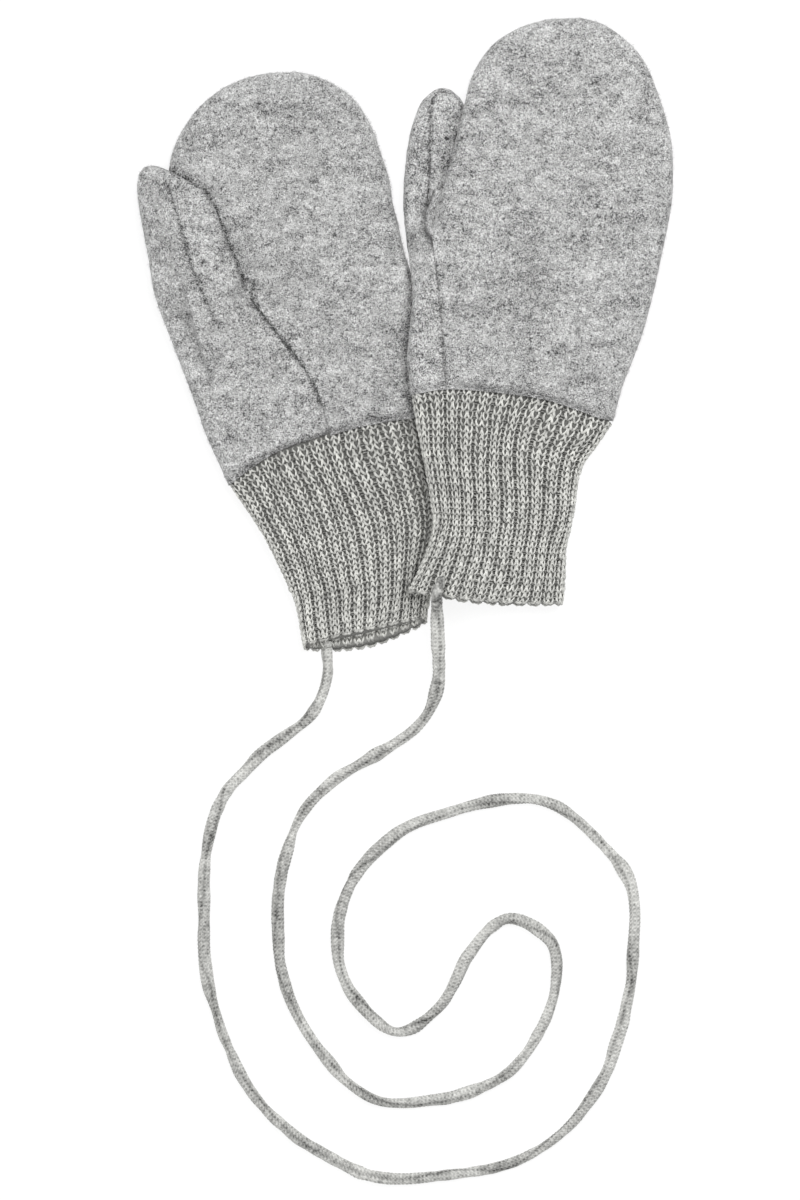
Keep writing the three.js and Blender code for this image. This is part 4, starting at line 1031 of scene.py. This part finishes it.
def centripetal(p, per=30):
    """A smooth curve through the points p, as many short steps."""
    p = np.asarray(p, float)
    out = []
    n = len(p)
    for i in range(n - 1):
        p0 = p[i - 1] if i else 2 * p[0] - p[1]
        p1, p2 = p[i], p[i + 1]
        p3 = p[i + 2] if i + 2 < n else 2 * p[-1] - p[-2]
        d0, d1, d2 = (np.linalg.norm(x) ** 0.5 for x in (p1 - p0, p2 - p1, p3 - p2))
        t1 = ((p1 - p0) / d0 - (p2 - p0) / (d0 + d1) + (p2 - p1) / d1) * d1
        t2 = ((p2 - p1) / d1 - (p3 - p1) / (d1 + d2) + (p3 - p2) / d2) * d1
        w = (np.arange(per) / per)[:, None]
        out.append(p1 + t1 * w + (3 * p2 - 3 * p1 - 2 * t1 - t2) * w**2 + (2 * p1 - 2 * p2 + t1 + t2) * w**3)
    out.append(p[-1:])
    return np.concatenate(out)


CORD_SIDES = 24
CORD_STEPS = 2790
CORD_WALES = 8  # columns of stitches round the tube
CORD_STITCH = 1.05  # length of a stitch
CORD_REST = 1.75  # height of its middle line where it lies on the table
CORD_TUCK = 2.6  # how far each end goes into its cuff
TUCK_RISE = [0, 0, 0.4]


def cord():
    """A flattened knitted tube that turns over here and there as it lies."""
    route = np.array([CORD_ENDS[0], *CORD_ROUTE, CORD_ENDS[1]]) / MM
    to_end = np.linalg.norm(route - route[-1], axis=1)
    late = np.arange(len(route)) > len(route) / 2
    z = CORD_REST + np.where(late, 1 - smooth(to_end / (CORD_RAMP / MM)), 0) * (CORD_END_Z / MM - CORD_REST)
    line = centripetal(np.concatenate([route, z[:, None]], 1))
    first, last = unit(line[0] - line[1]), unit(line[-1] - line[-2])
    line = np.concatenate([[line[0] + (first + TUCK_RISE) * CORD_TUCK], line,
                           [line[-1] + (last + TUCK_RISE) * CORD_TUCK]])
    run = np.concatenate([[0], np.cumsum(np.linalg.norm(np.diff(line, axis=0), axis=1))])
    s = np.linspace(0, run[-1], CORD_STEPS)
    centre = np.stack([np.interp(s, run, line[:, k]) for k in range(3)], 1)
    where = np.stack([s, 0 * s, 0 * s], 1)
    wide = 1.43 + 0.4 * noise(where, 17, 11) + 0.42 * noise(where, 6, 12) + 0.2 * noise(where, 2.6, 21)
    thick = 1.05 + 0.2 * noise(where, 13, 13)
    ends = smooth(np.minimum(s, run[-1] - s) / 4)
    wide, thick = wide * mix(0.75, 1, ends), thick * mix(0.5, 1, ends)
    twist = 0.85 * noise(where, 21, 14) + 0.6 * noise(where, 9, 15)
    crease = math.pi / 2 + 1.1 * noise(where, 15, 16)
    # Each part of it sinks or rises until its lower side lies on the table.
    low = np.sqrt((wide * np.sin(twist)) ** 2 + (thick * np.cos(twist)) ** 2)
    centre[:, 2] += np.minimum(low + 0.08 - CORD_REST, 0) * (centre[:, 2] < 2.4)
    centre[:, 2] = np.maximum(centre[:, 2], low + 0.08)
    way = unit(np.gradient(centre, axis=0))
    side = unit(np.cross([0, 0, 1], way))
    centre += side * ((0.65 * noise(where, 15, 17) + 0.4 * noise(where, 6, 18)) * ends)[:, None]
    out = np.cross(way, side)
    a = 2 * math.pi * np.arange(CORD_SIDES) / CORD_SIDES
    knit_u = a / (2 * math.pi) * CORD_WALES
    v = s[:, None] / CORD_STITCH
    fold = np.mod(knit_u, 1) - 0.5
    stitch = 0.5 + 0.5 * np.cos(2 * math.pi * (v + 1.1 * abs(fold)))
    hole = np.exp(-(fold / 0.22) ** 2) * (0.5 - 0.5 * np.cos(2 * math.pi * v))
    relief = 0.16 * stitch - 0.2 * hole
    bend = np.mod(a - crease[:, None] + math.pi, 2 * math.pi) - math.pi
    groove = 0.3 * np.exp(-(bend / 0.3) ** 2)
    x = (wide[:, None] + relief) * np.cos(a)
    y = (thick[:, None] + relief - groove) * np.sin(a)
    c, sn = np.cos(twist)[:, None], np.sin(twist)[:, None]
    grid = centre[:, None] + side[:, None] * (x * c - y * sn)[..., None]
    grid = grid + out[:, None] * (x * sn + y * c)[..., None]
    grid[..., 2] = np.maximum(grid[..., 2], TABLE_CLEAR)
    faces = tube_faces(1, len(s), CORD_SIDES)
    caps = np.array([[0, k + 1, k] for k in range(1, CORD_SIDES - 1)])
    last = (len(s) - 1) * CORD_SIDES
    caps = np.concatenate([caps, last + caps[:, ::-1]])
    # Painted shade: darker in the holes between stitches and down in the crease of the flattened tube; the
    # noise is the yarn's own tone.
    values = np.clip(0.5 + relief * 2.2 - groove * 1.4 + 0.22 * noise(where, 9, 19)[:, None], 0, 1)
    piece = make_object("cord_knitted", grid, [faces, caps], CORD, values)
    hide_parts("cord")


def sewn_end(m, end):
    """The right end of the cord, turned up over the hem and sewn down on the ribs."""
    g = np.linspace(0.02, 0.45, 300)
    hem = cuff_point(m, g, np.full(300, float(CUFF_ROWS)), np.zeros(300))
    at = g[np.argmin(np.hypot(*(hem[:, :2] - end[:2]).T))]
    row = np.array([8.62, 8.42, 8.18, 7.92, 7.65, 7.4, 7.25])
    out = np.array([-2.6, -1.0, 0.3, 0.75, 0.75, 0.6, -0.2])
    path = centripetal(cuff_point(m, at - 0.002 * np.arange(7), row, out), 9)
    reach = np.linspace(0, 1, len(path))
    radius = 1.35 * np.sqrt(1 - np.clip(abs(2 * reach - 1), 0, 0.999) ** 6)
    radius = radius * (1 + 0.16 * noise(path, 1.3, 23))
    sides = 16
    ring = tubes(path[None], radius[None], sides)[0]
    values = np.clip(0.4 + 0.9 * noise(ring, 0.9, 24), 0, 1)
    make_object("cord_sewn_end", ring.reshape(-1, 3), [tube_faces(1, len(path), sides)], CORD, values)


cord()
sewn_end(right, np.array(CORD_ENDS[1]) / MM)

# Width and length of each fleece piece spread out flat, in metres, and its area in square metres.
FLAT = {
    "left_palm": ((0.068, 0.104), 0.0046),
    "left_back": ((0.070, 0.104), 0.0055),
    "left_thumb": ((0.050, 0.085), 0.0034),
    "right_palm": ((0.068, 0.106), 0.0048),
    "right_back": ((0.072, 0.108), 0.0058),
    "right_thumb": ((0.050, 0.085), 0.0032),
}
# Rows and columns of the outer grids, and how many loose fibres each piece has.
TOP_GRID, UNDER_GRID, THUMB_ROWS = (221, 121), (101, 61), 141
TOP_FIBRES, UNDER_FIBRES, THUMB_FIBRES = 15000, 3000, 7000

for m, name, upper, lower in ((left, "left", "palm", "back"), (right, "right", "back", "palm")):
    near = {"palm": m.palm, "back": m.back}
    top, top_nap = brushed(m, f"{name}_{upper}", *panel(m, near[upper], 1, *TOP_GRID), 1, TOP_FIBRES)
    under, under_nap = brushed(m, f"{name}_{lower}", *panel(m, near[lower], -1, *UNDER_GRID), -1,
                               UNDER_FIBRES)
    thumb, thumb_nap = brushed(m, f"{name}_thumb", *thumb_grid(m, THUMB_ROWS), 0, THUMB_FIBRES)
    ground, knit = cuff(m, f"{name}_cuff")
    size, area = FLAT[f"{name}_{upper}"]
    size, area = FLAT[f"{name}_{lower}"]
    size, area = FLAT[f"{name}_thumb"]

FLOOR_SIZE = 4  # metres
FLOOR_DOWN = 0.0002
bpy.ops.mesh.primitive_plane_add(size=FLOOR_SIZE, location=(0, 0, -FLOOR_DOWN))
floor = bpy.context.object
floor.name = "floor"
floor_material = bpy.data.materials.new("floor")
tree, shader, add = shade_nodes(floor_material)
grain = add("ShaderNodeTexNoise", {"Scale": 40.0})
tone = add("ShaderNodeMapRange", {"Value": grain.outputs["Fac"], "To Min": 0.25, "To Max": 0.26})
tree.links.new(tone.outputs[0], shader.inputs["Base Color"])
shader.inputs["Roughness"].default_value = 0.9
shader.inputs["Emission Color"].default_value = (1, 1, 1, 1)
shader.inputs["Emission Strength"].default_value = 0.8
floor.data.materials.append(floor_material)

world = bpy.data.worlds.new("studio")
bpy.context.scene.world = world
world.use_nodes = True
world.node_tree.nodes["Background"].inputs["Color"].default_value = (1, 1, 1, 1)
world.node_tree.nodes["Background"].inputs["Strength"].default_value = 0.45
SOFTBOXES = (((0.45, 0.65, 1.2), 0.9, 11), ((-0.7, -0.2, 1.1), 1.2, 5))  # place, size in metres, watts
for place, size, power in SOFTBOXES:
    lamp_data = bpy.data.lights.new("softbox", "AREA")
    lamp_data.size, lamp_data.energy = size, power
    lamp = bpy.data.objects.new("softbox", lamp_data)
    lamp.location = place
    lamp.rotation_mode = "QUATERNION"
    aim = -lamp.location
    lamp.rotation_quaternion = aim.to_track_quat("-Z", "Y")
    bpy.context.collection.objects.link(lamp)
bpy.context.scene.view_settings.view_transform = "Standard"
